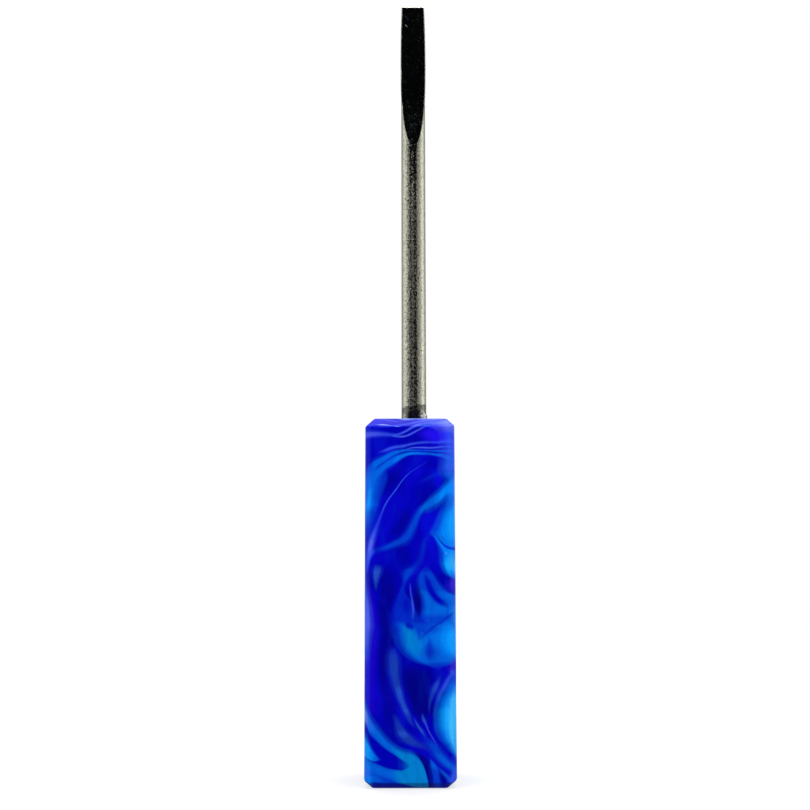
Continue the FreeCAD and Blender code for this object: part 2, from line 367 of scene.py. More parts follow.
UPRIGHT_SWIRLS = (
    # the light band down the left edge, its bright core and the haze beside it
    ((0.3, 0.6), (73, -8.7, -5.8, "deep_azure", 0.1), (70.5, -9.2, -6.4, 0.6), (68, -9.5, -7, 0.7),
     (65.5, -10.2, -7.3, 0.8), (63, -11, -7.7), (60.5, -11.3, -8.2, 0.6), (59, -11.5, -9, 0.1)),
    ((0.15, 0.7), (77, -10.2, -7, "mid_azure", 0.5), (75.4, -10.9, -6.4, "azure", 0.9),
     (73, -11.5, -6.4, 1), (71, -11.5, -6.9), (69, -11.5, -7.4), (67.3, -11.5, -7.9, "bright_azure"),
     (65.4, -11.5, -8.6, "azure", 0.9), (63.5, -11.5, -9.2, 0.8), (61.6, -11.5, -9.7, "mid_azure", 0.5),
     (59.8, -11.5, -10, "deep_azure", 0.3)),
    ((0.4, 0.5), (73, -10.3, -9, "bright_azure", 0.3), (71, -10.4, -9, "cyan", 0.5),
     (68.5, -10.7, -9.2, 0.7), (66.7, -10.8, -9.5, 0.6), (64.4, -10.9, -9.9, "bright_azure", 0.2)),
    # the long hairline that drops into a lavender strand
    ((0.3, 0.4), (77.4, 3.4, 3.8, "mist", 0.3), (75.3, 0.2, 0.6, 0.7), (73.2, -2.1, -1.75, "veil", 0.75),
     (70.6, -3.95, -3.6), (67.6, -5.9, -5.5, 0.7), (64.8, -7.3, -6.7, "mist"), (62.4, -8.5, -7.4),
     (60.4, -9.4, -8, "veil", 0.65), (58.2, -10.1, -8.6, "lavender", 0.9), (56, -10.5, -9.1, 0.85),
     (53.6, -10.8, -9.7, "veil", 0.7), (51.2, -10.9, -10.3, 0.4)),
    # the haze where the arch comes down on the right
    ((0.5, 0.1), (81, 9.6, 11.8, "azure", 0.3), (79.4, 8.6, 11.8, 0.6), (78, 8, 11.8, 0.75),
     (76.6, 7.8, 11.8), (75.4, 7.2, 11.8, "mid_azure"), (74.4, 8.1, 11.8, "azure", 0.7),
     (73.4, 9.6, 11.8, 0.5)),
    # the light mass on the right
    ((0.5, 0.02), (73.9, 10.3, 11.8, "bright_azure", 0.6), (73, 9.6, 11.8, 0.9), (71.7, 9, 11.8, 1),
     (69.8, 8.5, 11.8, "azure"), (68.5, 8.3, 11.8), (66.7, 8, 11.8), (64.8, 7.3, 11.8, "bright_azure"),
     (62.9, 6.5, 11.8), (61.4, 5.7, 11.8), (60.3, 5.3, 11.8), (59.5, 6.3, 11.8), (58.6, 7.3, 11.8),
     (57.7, 8.1, 11.8), (56.8, 9.3, 11.8, "azure", 0.9), (56.3, 11.1, 11.9, 0.5)),
    ((0.5, 0.1), (68.5, 10.4, 11.8, "cyan", 0.4), (66, 9.8, 11.8, 0.7), (63.8, 8.8, 11.8, 1),
     (62.3, 8.3, 11.8), (60.7, 8.4, 11.8), (58.9, 9.2, 11.8, 0.5)),
    ((0.5, 0.1), (73.4, 10, 11.8, "cyan", 0.2), (72, 9.6, 11.8, 0.7), (70.4, 9.6, 11.8),
     (69.3, 10, 11.8, 0.2)),
    # the second lobe under it
    ((0.22, 0.02), (60.4, 5.4, 6.6, "azure", 0.5), (59.2, 6.1, 7.8, "bright_azure", 0.9), (58, 6.8, 8.9, 1),
     (56.7, 7.4, 10.6), (55.8, 7.7, 11.8), (54.6, 7.8, 11.8), (53.1, 7.9, 11.8, "cyan"), (51.8, 8.3, 11.8),
     (50.6, 8.8, 11.8, "bright_azure"), (49.7, 9.6, 11.8, "azure", 0.9), (48.9, 11, 11.9, 0.5)),
    ((0.5, 0.1), (57, 9.4, 11.8, "cyan", 0.5), (55.5, 9, 11.8, 0.8), (53.7, 9.1, 11.8, "pale_cyan", 0.7),
     (52.1, 9.4, 11.8, 0.8), (50.4, 10.2, 11.8, "cyan", 0.2)),
    ((0.4, 0.1), (50, 9.8, 11.8, "violet", 0.1), (48.7, 9.2, 11.8, 0.8), (47, 9, 11.8, 0.7),
     (46.1, 9.8, 11.8, 0.2)),
    # the small wedge on the left
    ((0.25, 0.3), (52.1, -8.8, -6.8, "pale_slate", 0.4), (51.2, -8.9, -6.9, 0.8), (50, -8.8, -7.2, 0.75),
     (48.4, -8.6, -7.6, "slate", 0.8), (47, -8.4, -7.9, 0.4)),
    # the upside-down U, and the dark tongue inside it
    ((0.2, 0.15), (52.1, 3.5, 4.7, "deep_azure", 0.5), (51.4, 2.8, 5.4, 0.9),
     (50.6, 2.3, 5.9, "mid_azure", 0.8), (49.4, 1.9, 6.6, 0.85), (48.1, 1.7, 7.5, 0.9),
     (46.9, 1.8, 8.6, 0.95), (45.9, 2.1, 9.9, "azure"), (45.2, 2.4, 11.8, 1), (44.1, 2.8, 11.9),
     (42.6, 2.9, 11.9), (41.4, 2.4, 11.9), (40.2, 2.2, 11.9, "mid_azure"), (38.8, 2.4, 11.9, 0.95),
     (37.6, 2.6, 11.9, "azure", 0.9), (36, 4, 11.9, 0.7)),
    ((0.35, 0.45), (50.2, 3.4, 4.4, "ultramarine", 0.5), (48.7, 3.4, 5.6, 1), (47.5, 3.6, 6.1),
     (46.3, 3.8, 7.1), (45, 4.6, 8.2), (44.1, 5.3, 9.3), (43.2, 6.4, 9.9, 0.9), (42.5, 7.9, 10, 0.4)),
    ((0.5, 0.05), (43.5, 10.4, 11.8, "bright_azure", 0.3), (41.5, 9.9, 11.8, "cyan", 0.6),
     (39.5, 9.9, 11.8), (38, 10.4, 11.8, 0.3)),
    # the big hanging lobe in the middle
    ((0.2, 0.05), (46.9, -2.5, -1.4, "deep_azure", 0.5), (45.4, -3.1, -0.9, 0.7), (44.1, -3.7, 0.4, 0.8),
     (42.3, -4.1, 1.2, 0.9), (40.5, -4.3, 2.2, 1), (39.3, -4.3, 3.4), (38.2, -4.2, 5.4, "mid_azure"),
     (36.9, -4, 10.4), (35.7, -3.6, 11.9, "azure", 0.95), (33.5, -2.7, 11.9, 1), (31.7, -1.4, 11.9, 0.95),
     (30.5, 0.1, 11.9), (29.6, 1.8, 11.4, 0.9), (28.8, 3.7, 9.9, "mid_azure", 0.7), (28.1, 5.6, 7.9, 0.3)),
    ((0.3, 0.3), (48, 0.8, 2, "navy", 0.3), (46.3, 0.8, 2.6, 0.7), (44.4, 0.8, 3.1, 1), (42.6, 1, 3.1),
     (41.1, 1.4, 2.7, 0.8), (40.2, 1.7, 2.3, 0.3)),
    ((0.4, 0.4), (44.6, -2, 0.3, "ultramarine", 0.4), (43.2, -2.1, 0.2, 0.8), (41.8, -1.7, 0.1, 0.6),
     (40.6, -1.2, 0, 0.3)),
    ((0.3, 0.6), (38.1, -2.4, 0.4, "teal", 0.4), (36.8, -2.2, 2.4, 0.9), (35.4, -1.9, 3.6, 1),
     (33.5, -1.4, 4.2), (32, -0.4, 4.6, 0.8), (30.8, 0.9, 5, 0.2)),
    ((0.5, 0.5), (37.8, 0.8, 2.9, "deep_azure", 0.4), (36.6, 1.2, 3, 0.8), (35.3, 1.5, 2.9, 0.4)),
    ((0.3, 0.3), (39, -1.1, 0.5, "ultramarine", 0.3), (38.4, -1.4, 0.9, 0.8), (37.8, -1.2, 1.1, 0.9),
     (37.1, 0, 0.7, 0.4)),
    ((0.5, 0.05), (39.6, 8, 11.8, "bright_azure", 0.3), (38.4, 6.8, 11.8, 0.8), (36.8, 5.8, 11.8, 1),
     (35, 5.3, 11.8), (33.2, 6.3, 11.8), (31.7, 7, 11.8, 0.8), (30.2, 8.2, 11.8, 0.2)),
    ((0.5, 0.1), (37.8, 8.9, 11.8, "cyan", 0.2), (36, 8.4, 11.8, 0.9), (34.1, 8.2, 11.8, 1),
     (32.3, 8.9, 11.8, 0.9), (30.8, 10, 11.8, 0.2)),
    ((0.5, 0.5), (34.6, 4.2, 5.6, "deep_azure", 0.4), (33.4, 3.2, 6.2, 0.8),
     (32.3, 2.5, 6.8, "ultramarine"), (31.3, 2.6, 6.9), (30.3, 3.2, 6.4, "deep_azure", 0.5)),
    # the lavender strip down the left edge
    ((0.02, 0.4), (50.5, -11.8, -10.4, "lavender", 0.3), (45.6, -11.8, -10, 0.7), (43.8, -11.8, -9.7, 0.85),
     (42, -11.8, -9.5, 0.95), (39.6, -11.8, -9.3, 1), (37.8, -11.8, -9.2), (36, -11.8, -9.5, 0.9),
     (34.1, -11.8, -9.8, 0.8), (32.3, -11.8, -9.9, "veil", 0.6), (28.7, -11.8, -10.1, "violet", 0.7),
     (24.2, -11.8, -10.2), (19.7, -11.8, -10.2, 0.5)),
    # two slate strands that sweep down to the right
    ((0.35, 0.3), (32.6, -5.2, -3.3, "slate", 0.3), (31.1, -5.8, -2.8, 0.8), (29.3, -5.8, -2.6, 1),
     (27.5, -5.6, -2.6), (26, -5.1, -2.5, 0.9), (24.2, -4.5, -2.3, 0.95),
     (22.4, -3.9, -1.9, "pale_slate", 0.75), (20.6, -3.3, -1.5, 0.65), (19.1, -2.6, -1),
     (17.9, -2.1, -0.5, 0.75), (16.7, -1.5, 0, "slate", 0.8), (15.5, -0.7, 0.4, 0.6), (14.7, 0.1, 1, 0.3)),
    ((0.3, 0.3), (16.7, -4.4, -3.2, "slate", 0.3), (15.5, -4, -2.5, 0.6), (14.1, -3.7, -1.3, 0.85),
     (12.9, -3.3, -0.2, "pale_slate", 0.8), (11.7, -2.5, 1.3, "slate", 0.9), (10.8, -1.5, 2.5, 0.8),
     (10, 0, 3.9, 0.6), (9.2, 2.1, 4.8, 0.2)),
    # feathered strands above the cyan lobe on the right
    ((0.3, 0.3), (25.7, 6.4, 7.3, "slate", 0.3), (24.5, 5.6, 6.9, "pale_slate", 0.6), (23.3, 4.9, 6.5),
     (21.8, 4.5, 5.8, "slate", 0.7), (20, 4.2, 5, 0.5), (18.2, 4.2, 4.7, 0.3)),
    ((0.2, 0.2), (30.4, 10.2, 11.8, "violet", 0.3), (29.2, 9.7, 11.8, 0.7), (27.8, 9.2, 11.8, 0.8),
     (26.6, 9.6, 11.8, "veil", 0.5)),
    ((0.3, 0.4), (26.6, 9.2, 10.6, "veil", 0.4), (25.1, 8.1, 9.6, 0.55), (23.6, 7.2, 8.7),
     (22.1, 6.4, 7.9, "pale_slate", 0.6), (20.3, 5.8, 7, "slate"), (18.5, 5.4, 6.3, 0.4),
     (16.7, 5.3, 5.8, "violet", 0.2)),
    # the cyan lobe on the right
    ((0.4, 0.02), (26.9, 10.4, 11.8, "mid_azure", 0.6), (25.4, 9.2, 11.8, 0.9),
     (23.9, 8.2, 11.8, "azure", 1), (22.7, 7.7, 11.8), (21.2, 7.1, 11.8, "bright_azure"), (19.7, 6.7, 11.8),
     (18.2, 6.3, 11.8, "cyan"), (16.1, 6.1, 11.8), (14.4, 6.1, 11.8), (12.6, 6.5, 11.8, "bright_azure"),
     (11.1, 7.3, 11.8), (10, 8.1, 11.8, "azure"), (8.8, 9.1, 11.8, 0.9), (7.9, 10.4, 11.9, 0.5)),
    ((0.4, 0.05), (24.3, 10.4, 11.8, "cyan", 0.5), (21.2, 9.3, 11.8, "pale_cyan", 0.95),
     (18.2, 8.9, 11.8, 1), (15.2, 8.8, 11.8), (12.3, 9, 11.8), (10.2, 9.7, 11.8, 0.9),
     (8.3, 10.5, 11.8, 0.7), (6.8, 10.8, 11.8, "cyan", 0.3)),
    # the band that falls to the bottom right corner
    ((0.4, 0.4), (11.4, 2.8, 5.3, "mid_azure", 0.3), (10, 3.7, 6.6, 0.8), (8.5, 4.7, 7.9, 0.95),
     (7, 6.1, 9.1, "azure", 0.85), (5.5, 7.8, 10.9), (4.3, 9.4, 11.8, 0.8), (3.1, 10.6, 11.8, 0.6)),
    ((0.3, 0.4), (16.9, 2.5, 3.1, "pale_slate", 0.4), (15.8, 2.7, 3.6, 0.8), (14.9, 3.3, 3.9, "veil", 0.5),
     (13.5, 4, 4.4, 0.6), (12, 4.8, 5.2, 0.5), (10.8, 5.5, 5.9, 0.3), (9.7, 6, 6.4, 0.1)),
    ((0.3, 0.4), (15.8, 0.7, 1.3, "pale_slate", 0.3), (14.6, 1.4, 2.2, 0.7), (13.5, 2.2, 3.1),
     (12.3, 2.9, 3.8, "mid_azure", 0.5)),
    # feathers above the middle lobe
    ((0.35, 0.35), (59.7, 3.6, 4.7, "deep_azure", 0.3), (58.6, 2.9, 4.2, 0.6), (56.7, 2.3, 3.9, 0.7),
     (54.6, 1.9, 3.5, 0.6), (53.1, 0.9, 3.1), (52, -0.4, 2.2, 0.8), (51.2, -1.7, 1.4, "mid_azure", 0.75),
     (50.3, -1.9, 0.7, 0.8), (49.4, -1.9, -0.1, 0.7), (48.1, -2.1, -0.8, "deep_azure"), (46.9, -2.5, -1.3),
     (45.6, -3.1, -1.5, 0.5)),
    ((0.35, 0.35), (47.5, -0.2, 0.3, "veil", 0.3), (46.3, -0.1, 0.4, 0.5),
     (44.7, 0.2, 0.7, "pale_slate", 0.7), (43.2, 0.4, 0.95, "veil", 0.8), (41.7, 0.5, 1.05, 0.7),
     (40.2, 0.3, 1, "pale_slate", 0.4)),
)

# Swirls that run across have distances right of the middle along them, and a low and a high edge.
ACROSS_SWIRLS = (
    # the lines over the arch
    ((0.3, 0.3), (-11.8, 83.9, 85.6, "lavender", 0.72), (-8.8, 84, 85.4, 0.56),
     (-6.3, 84, 85.1, "veil", 0.48), (-4.1, 84, 84.9, 0.4), (-2.2, 84, 84.5, 0.16)),
    ((0.3, 0.4), (-4.1, 84.2, 84.7, "veil", 0.4), (-2.5, 84.5, 85.1, 0.64),
     (-0.9, 85.1, 85.7, "lavender", 0.72), (0.6, 85.8, 86.6), (2.2, 86.5, 87.3), (4.1, 87, 87.8, 0.56),
     (6.6, 87.6, 88.3, "veil", 0.4), (9.1, 87.9, 88.5, 0.16)),
    ((0.3, 0.4), (-4.1, 83.9, 84.4, "veil", 0.4), (-1.9, 83.8, 84.3, "lavender", 0.64),
     (-0.3, 84.1, 84.6, 0.72), (1.3, 84.8, 85.3, 0.64), (2.8, 85.6, 86.1),
     (4.1, 86.3, 86.8, "mid_azure", 0.7), (5.4, 86.1, 86.6, "veil", 0.32), (6.9, 85.9, 86.3, 0.16)),
    ((0.3, 0.3), (3, 86.9, 87.3, "ultramarine", 0.5), (4.2, 86.8, 87.3, "navy", 0.9),
     (5.2, 86.9, 87.3, 0.5)),
    ((0.35, 0.35), (-7.3, 80.2, 80.7, "veil", 0.24), (-6, 80.4, 81.2, 0.56), (-4.1, 80.9, 81.7, 0.64),
     (-1.6, 81.2, 82), (0.6, 81.9, 82.5, 0.56), (4.1, 82.5, 83.1, 0.48), (6.6, 82.5, 83.1, 0.4),
     (8.5, 82.3, 83.4, 0.48), (11.8, 82.1, 84, 0.64)),
    ((0.3, 0.3), (-3.2, 79.9, 80.2, "veil", 0.24), (-0.9, 80.7, 81, 0.48),
     (0.6, 81.1, 81.4, "lavender", 0.64), (2.8, 81.3, 81.7), (5.4, 81.3, 81.75), (8.5, 81.4, 81.85, "veil"),
     (11.8, 81.1, 81.6, 0.56)),
    # a painted highlight: a pale streak along the top bevel's lower edge
    ((0.3, 0.3), (-8.4, 86.95, 87.05, "glint", 0.2), (-7.2, 86.85, 87.1, 0.75), (-5.6, 86.75, 86.98, 0.65),
     (-4.4, 86.68, 86.85, "lavender", 0.4), (-3.2, 86.55, 86.75, "glint", 0.7),
     (-2.2, 86.5, 86.6, "lavender", 0.2)),
    # the arch, in two bands with a dark line between them
    ((0.3, 0.25), (-10.6, 74.4, 76.4, "mid_azure", 0.4), (-9.8, 74.6, 77.5, 0.8),
     (-8.8, 75.8, 78.4, "azure", 0.95), (-7.8, 76.9, 79, 1), (-6.6, 77.9, 79.6), (-4.7, 79.1, 80.4, 0.95),
     (-2.8, 79.9, 80.7, 0.9), (-0.9, 80.3, 80.8, 0.85), (0.9, 80.5, 80.9, 0.8),
     (2.8, 80.6, 81, "mid_azure"), (5.4, 80.6, 81, "azure", 0.75), (8.5, 80.3, 80.8, 0.8),
     (11.8, 79.9, 80.6, 0.9)),
    ((0.3, 0.3), (-9.6, 70.6, 73.6, "azure", 0.5), (-9.1, 71.1, 74.3, 0.8), (-8.5, 73, 75.9, 0.9),
     (-7.5, 74.2, 77.1), (-6.3, 75.8, 78.1, 0.95), (-4.7, 76.9, 79, 0.9),
     (-2.8, 78.2, 79.6, "bright_azure", 0.85), (-0.9, 79.2, 80), (0.9, 79.6, 80.3),
     (3.5, 79.7, 80.4, "azure"), (5.4, 79.6, 80.3), (6.9, 79.3, 80.1), (8.5, 78.8, 79.9), (9.8, 78, 79.4),
     (11.8, 76.6, 78.8, 0.7)),
    ((0.5, 0.5), (2.2, 72.3, 73.2, "deep_azure", 0.1), (4.7, 73.3, 74.4, 0.6), (6.9, 74.2, 75.4, 0.7),
     (8.8, 74.8, 76, 0.4)),
    # glue smeared along the top edge in front of the rod, painted pale as a highlight
    ((0.2, 0.2), (-2.8, 88.6, 90, "glint", 0.4), (-1.6, 88.5, 90, 0.9), (1.4, 88.6, 90, 0.8),
     (3.6, 88.5, 90, 1), (5.2, 88.6, 90, 0.3)),
    # the diagonal branch
    ((0.4, 0.35), (-10.3, 51.4, 53.7, "veil", 0.3), (-10, 52.7, 55.5, 0.5), (-9.4, 54.3, 56.6, 0.55),
     (-8.4, 55.4, 57, "deep_azure", 0.9), (-7.2, 55.9, 57.3, 0.95), (-5.6, 56.2, 57.8, "mid_azure", 0.8),
     (-4.1, 56.7, 58.5, 0.85), (-2.5, 57.2, 59.5), (-0.9, 57.8, 61.2), (0.3, 58.9, 63.2, 0.9),
     (1.5, 61, 65.3), (2.4, 63.5, 66.6, 1), (3.4, 65.3, 67.5, "azure"), (4.7, 65.8, 68.9), (5.9, 66.4, 70),
     (7.2, 67.3, 71.1, "bright_azure"), (8.4, 68.6, 72.4), (9.7, 69.2, 73.3), (11.8, 69.5, 73.8)),
    # the dark crease between the two lobes on the right
    ((0.35, 0.35), (5.9, 60.1, 60.8, "deep_azure", 0.3), (6.8, 58.9, 59.9, 0.7), (7.8, 57.6, 58.7, 0.9),
     (8.6, 56.8, 57.9, "royal", 0.85), (9.6, 56.3, 57.3, 0.9), (11.8, 56.2, 57.1, "ultramarine", 0.95)),
    ((0.35, 0.35), (2, 34.4, 35.8, "deep_azure", 0.1), (2.8, 34.9, 36.2, 0.4), (3.7, 35.6, 36.8, 0.7),
     (5.3, 37, 38), (6.8, 38.2, 39.1, 0.8), (8.4, 39.4, 40.2), (10.4, 40.6, 41.3, 0.6)),
    # the mass at the bottom left, the dark tongue across it and the bright wedge behind that
    ((0.02, 0.12), (-11.8, -2, 21.2, "bright_azure", 1), (-10.7, -2, 20), (-10, -2, 18.3),
     (-8.9, -2, 16.4, "azure"), (-7.1, -2, 13.8), (-4.9, -2, 11.3), (-2.7, -2, 9.5, "teal"),
     (-0.3, -2, 8.7), (0.9, -2, 8.2), (2.4, -2, 6.7), (3.5, -2, 4.7), (4, -2, 2.5, 0.9),
     (4.3, -2, 0.4, 0.6)),
    ((0.1, 0.15), (-11.8, 7.2, 17.6, "ultramarine", 1), (-10.7, 6.9, 16.7), (-9.8, 6.4, 14),
     (-7.9, 5.6, 11.7), (-5.5, 4.7, 9.5), (-3.5, 4.3, 8), (-2, 4.2, 6.8, 0.9), (-0.9, 4.6, 5.9, 0.5),
     (-0.4, 5, 5.4, 0.1)),
    ((0.15, 0.3), (-11.8, 7.2, 12.8, "bright_azure", 1), (-10.7, 7.2, 12.5, "cyan"), (-9.8, 6.9, 11),
     (-8.9, 6.6, 9.4, "bright_azure"), (-7.9, 6.6, 8.1, "azure", 0.9), (-7.3, 6.8, 7.4, 0.4)),
    ((0.3, 0.3), (-11.8, 15, 20.5, "glint", 0.6), (-10.6, 14.8, 18.9, 0.55),
     (-9.9, 14.4, 17.2, "veil", 0.6), (-8.9, 13, 15.2, 0.3)),
    ((0.3, 0.3), (-11.8, 2.8, 5.6, "veil", 0.5), (-10.4, 2.4, 5.4), (-8.9, 2.2, 4.6, "azure", 0.4)),
    ((0.4, 0.4), (-9.4, 2.6, 4.4, "mid_azure", 0.4), (-6.4, 1.3, 3.4, "deep_azure", 0.7),
     (-4, 0.4, 2.6, 0.8), (-2, -0.3, 1.4, 0.5)),
)

# Swirls that run up and down again, over all the others.
LAST_SWIRLS = (
    # thin waves over the top bevel
    ((0.5, 0.5), (88.8, 5.6, 9, "glint", 0.7), (88.3, 3, 6.6, "lavender", 0.8), (87.8, 0.6, 3.8, 0.6),
     (87.3, -1.8, 1.6, "veil"), (86.9, -4.6, -1, 0.4)),
    ((0.5, 0.5), (88.3, 8.6, 11, "lavender", 0.6), (87.6, 5.6, 9.4, 0.7), (87, 2.8, 6.4, "mid_azure"),
     (86.5, 0.8, 4, 0.5)),
    ((0.5, 0.5), (88.8, -9, -6.6, "lavender", 0.4), (88.2, -7, -3.6, "veil"),
     (87.7, -4.4, -1.2, "ultramarine", 0.6)),
    # the pale haze down the right edge
    ((0.7, 0.05), (88.6, 5.8, 11.8, "glint", 0.3), (87, 5.6, 11.8, 0.4), (85, 7.2, 11.8, "veil", 0.6),
     (82.8, 7.4, 11.8, 0.5), (80.6, 7.2, 11.8, 0.55), (78.2, 7.4, 11.8, 0.3), (76, 7.2, 11.8, 0.5),
     (74, 7.6, 11.8, "azure"), (72.8, 8.4, 11.8, 0.2)),
    # the butt's bevel, darkened with painted shade where it faces down
    ((0.12, 0.12), (1.7, -9.4, -3.6, "ultramarine", 0.3), (1.3, -9.6, -1.5, 0.9), (0.7, -9.8, 0.6, 0.95),
     (0.1, -10, 2.6, 0.9), (-0.5, -10.2, 5, 0.8)),
    # the dark line and the wedges at the bottom right
    ((0.3, 0.3), (7.9, 1.5, 3, "navy", 0.5), (6.4, 2.9, 4.8, 0.9), (4.9, 3.8, 5.3, 1), (3.4, 4.3, 5.4),
     (1.9, 4.3, 5.4), (0.4, 4.3, 5.4, 0.9)),
    ((0.35, 0.35), (8.2, 0.7, 1.3, "ink", 0.5), (7.3, 1.7, 2.4, 0.9), (6.4, 2.5, 3.1, 1), (5.2, 3.2, 3.9),
     (3.7, 3.8, 4.5, 0.8), (2.2, 4, 4.6, 0.6), (0.4, 4, 4.6, 0.5)),
    ((0.25, 0.25), (6.4, 4.8, 5.5, "azure", 0.6), (5.5, 4.9, 6.4, 0.9), (4.3, 5.1, 7, "mid_azure"),
     (2.8, 5.3, 7.1), (1.3, 5.1, 7.3, 0.8), (0, 5.1, 7.5, 0.6)),
    ((0.3, 0.3), (4.3, 7, 8, "navy", 0.4), (3.4, 6.9, 8.4, 0.9), (2.2, 7, 8.7), (1.3, 7.6, 8.9, 0.5)),
    ((0.3, 0.3), (4.5, 6.9, 7.9, "azure", 0.4), (3.4, 7.8, 9, 0.7), (2.2, 8.8, 10),
     (1.3, 9.5, 10.6, "veil", 0.5)),
    ((0.3, 0.1), (4.3, 10, 11.8, "veil", 0.4), (3.1, 9.5, 11.8, 0.8), (1.9, 9.1, 11.8),
     (0.7, 8.8, 11.8, "azure", 0.6)),
)


# How the pigments flowed behind the front face
SKIN = 2.3                       # mm of depth over which the swirls still run straight back
DRIFT_SCALE = 0.05               # how fine the slow drift's noise is, per mm
DRIFT_ACROSS = (30.0, 8.0)       # mm over the whole depth: the uneven part, then the even one
DRIFT_UP = (50.0, 38.0)
RIPPLE_SCALE = 0.15              # how fine the ripple's noise is, per mm
RIPPLE_DEPTH = 0.3               # share of the depth over which the ripple grows
RIPPLE_GROWTH = 15.0             # mm that it would grow by over the whole depth
RIPPLE_START = 0.9               # mm that it has at the front

EDGE_SHEEN = 0.12                 # how pale the painted sheen makes the long edges
X_SPAN = (-12.0, 12.0)           # mm that the swirls' edges may lie in, across
Z_SPAN = (-3.0, 93.0)            # and up


def whole_rows(rows):
    """The rows of a swirl, each with the pigment and the strength that it may have left out."""
    whole = []
    pigment = strength = None
    for place, low, high, *given in rows:
        for value in given:
            if isinstance(value, str):
                pigment = value
            else:
                strength = value
        whole.append((place, low, high, pigment, strength))
    return whole


def sway(g, where, scale, detail):
    """An uneven shift across and up, each between about -0.5 and 0.5."""
    swayed = g.noise(where, scale, detail, 0.4, colour=True)
    x, z, _ = g.split(g.vector("SUBTRACT", swayed, (0.5, 0.5, 0.5)))
    return x, z


def flowed_place(g):
    """Where a point was before the pigments were stirred, across and up, in mm.

    The composition is laid out on the front face and runs straight back under it as far as the
    bevels reach. Deeper in the block it drifts across and up, by uneven amounts, and turns back at
    the block's own edges.
    """
    where = g.place()
    x, y, z = g.split(where)
    depth = g.math("MAXIMUM", g.divide(g.plus(y, HALF - SKIN), SIDE), 0.0)
    drift_x, drift_z = sway(g, where, DRIFT_SCALE, 1.0)
    ripple_x, ripple_z = sway(g, where, RIPPLE_SCALE, 0.0)
    shift_x = g.times(depth, g.times_plus(drift_x, *DRIFT_ACROSS))
    shift_z = g.times(depth, g.times_plus(drift_z, *DRIFT_UP))
    reach = g.times_plus(g.math("MINIMUM", depth, RIPPLE_DEPTH), RIPPLE_GROWTH, RIPPLE_START)
    moved_x = g.plus(g.times_plus(ripple_x, reach, x), shift_x)
    moved_z = g.plus(g.times_plus(ripple_z, reach, z), shift_z)
    # Fold both back at the block's edges. The whole folds that are added keep them above 0.
    across = g.minus(g.math("PINGPONG", g.plus(moved_x, 5 * HALF), SIDE), HALF)
    up = g.math("PINGPONG", g.plus(moved_z, 2 * LENGTH), LENGTH)
    return across, up


def depth_share(g):
    """How deep a point is behind the front face, from 0 to 1."""
    return g.divide(g.plus(g.split(g.place())[1], HALF), SIDE)


def painted_edge_sheen(g):
    """How pale the long edges are painted with sheen, from 1.9 mm inside its faces outwards."""
    x, y, _ = g.split(g.place())
    inner = g.math("MINIMUM", g.math("ABSOLUTE", x), g.math("ABSOLUTE", y))
    return g.step(inner, HALF - 1.9, HALF - 0.4, 0.0, EDGE_SHEEN)


def glinting_bubbles(g, where):
    """A few pinprick bubbles cut open by the sanding, painted pale as the glint they catch."""
    cells = g.node("ShaderNodeTexVoronoi", {"Vector": where, "Scale": 0.22}).outputs
    chance, size, _ = g.split(cells["Color"])
    rare = g.step(chance, 0.90, 0.91)
    reach = g.times_plus(size, 0.03, 0.015)
    return g.times(rare, g.math("LESS_THAN", cells["Distance"], reach))


def resin_material():
    """Cast resin with blue pigments swirled through it."""
    g = Graph.of_material("marbled_resin")
    where = g.place()

    # the clouded base, and the swirls laid over it one by one
    across, up = flowed_place(g)
    x_axis = (g.step_linear(across, *X_SPAN), *X_SPAN)
    z_axis = (g.step_linear(up, *Z_SPAN), *Z_SPAN)
    cloud = g.noise(where, 0.09, 3.0, 0.5, 0.6)
    canvas = g.ramp(cloud, [(0.38, srgb(0, 0, 158)), (0.5, srgb(*PIGMENTS["ultramarine"])),
                            (0.62, srgb(5, 2, 192))])[0]
    for swirls, along, axis in (
            (UPRIGHT_FIELDS, up, x_axis), (UPRIGHT_SWIRLS, up, x_axis),
            (ACROSS_SWIRLS, across, z_axis), (LAST_SWIRLS, up, x_axis)):
        for fades, *rows in swirls:
            canvas = g.vein(canvas, along, axis, whole_rows(rows), fades)

    # faint folds, painted sheen on the long edges, grain, and bubbles painted pale as glints
    stretched = g.join(g.times(across, 0.4), depth_share(g), g.times(up, 0.14))
    folds = g.noise(stretched, 0.8, 1.0, 0.5, 0.8)
    canvas = g.mix(g.step(folds, 0.52, 0.7, 0.0, 0.14), canvas, srgb(*PIGMENTS["deep_azure"]))
    canvas = g.mix(g.step(folds, 0.48, 0.34, 0.0, 0.14), canvas, srgb(*PIGMENTS["navy"]))
    # painted sheen: the rounded long edges lightened as if they caught the light
    canvas = g.mix(painted_edge_sheen(g), canvas, srgb(*PIGMENTS["veil"]))
    tone = g.noise(where, 3.2, 3.0, 0.7)
    shade = g.ramp(tone, [(0.3, (0.88, 0.88, 0.88, 1.0)), (0.7, (1.1, 1.1, 1.1, 1.0))])[0]
    colour = g.mix(1.0, canvas, shade, "MULTIPLY")
    # painted glints: pale pinpricks where the sanded bubbles catch the light
    colour = g.mix(glinting_bubbles(g, where), colour, srgb(150, 165, 250))
    sanding = g.noise(where, 5.0, 2.0, 0.6)
    return g.finish(Base_Color=colour, Roughness=g.step(cloud, 0.3, 0.7, 0.28, 0.36), IOR=1.5,
                    Specular_IOR_Level=0.08, Normal=g.bump(sanding, 0.004))


SCRATCH_SLOPE = math.radians(50)
STEEP_SLOPE = math.radians(72)
# Nicks on the flat, painted bright with the glint they catch: across, height, length and width in mm, and
# colour.
GLINTING_NICKS = ((-1.75, 200.1, 1.0, 0.11, (80, 98, 140)), (-1.8, 197.5, 0.6, 0.14, (235, 235, 225)))


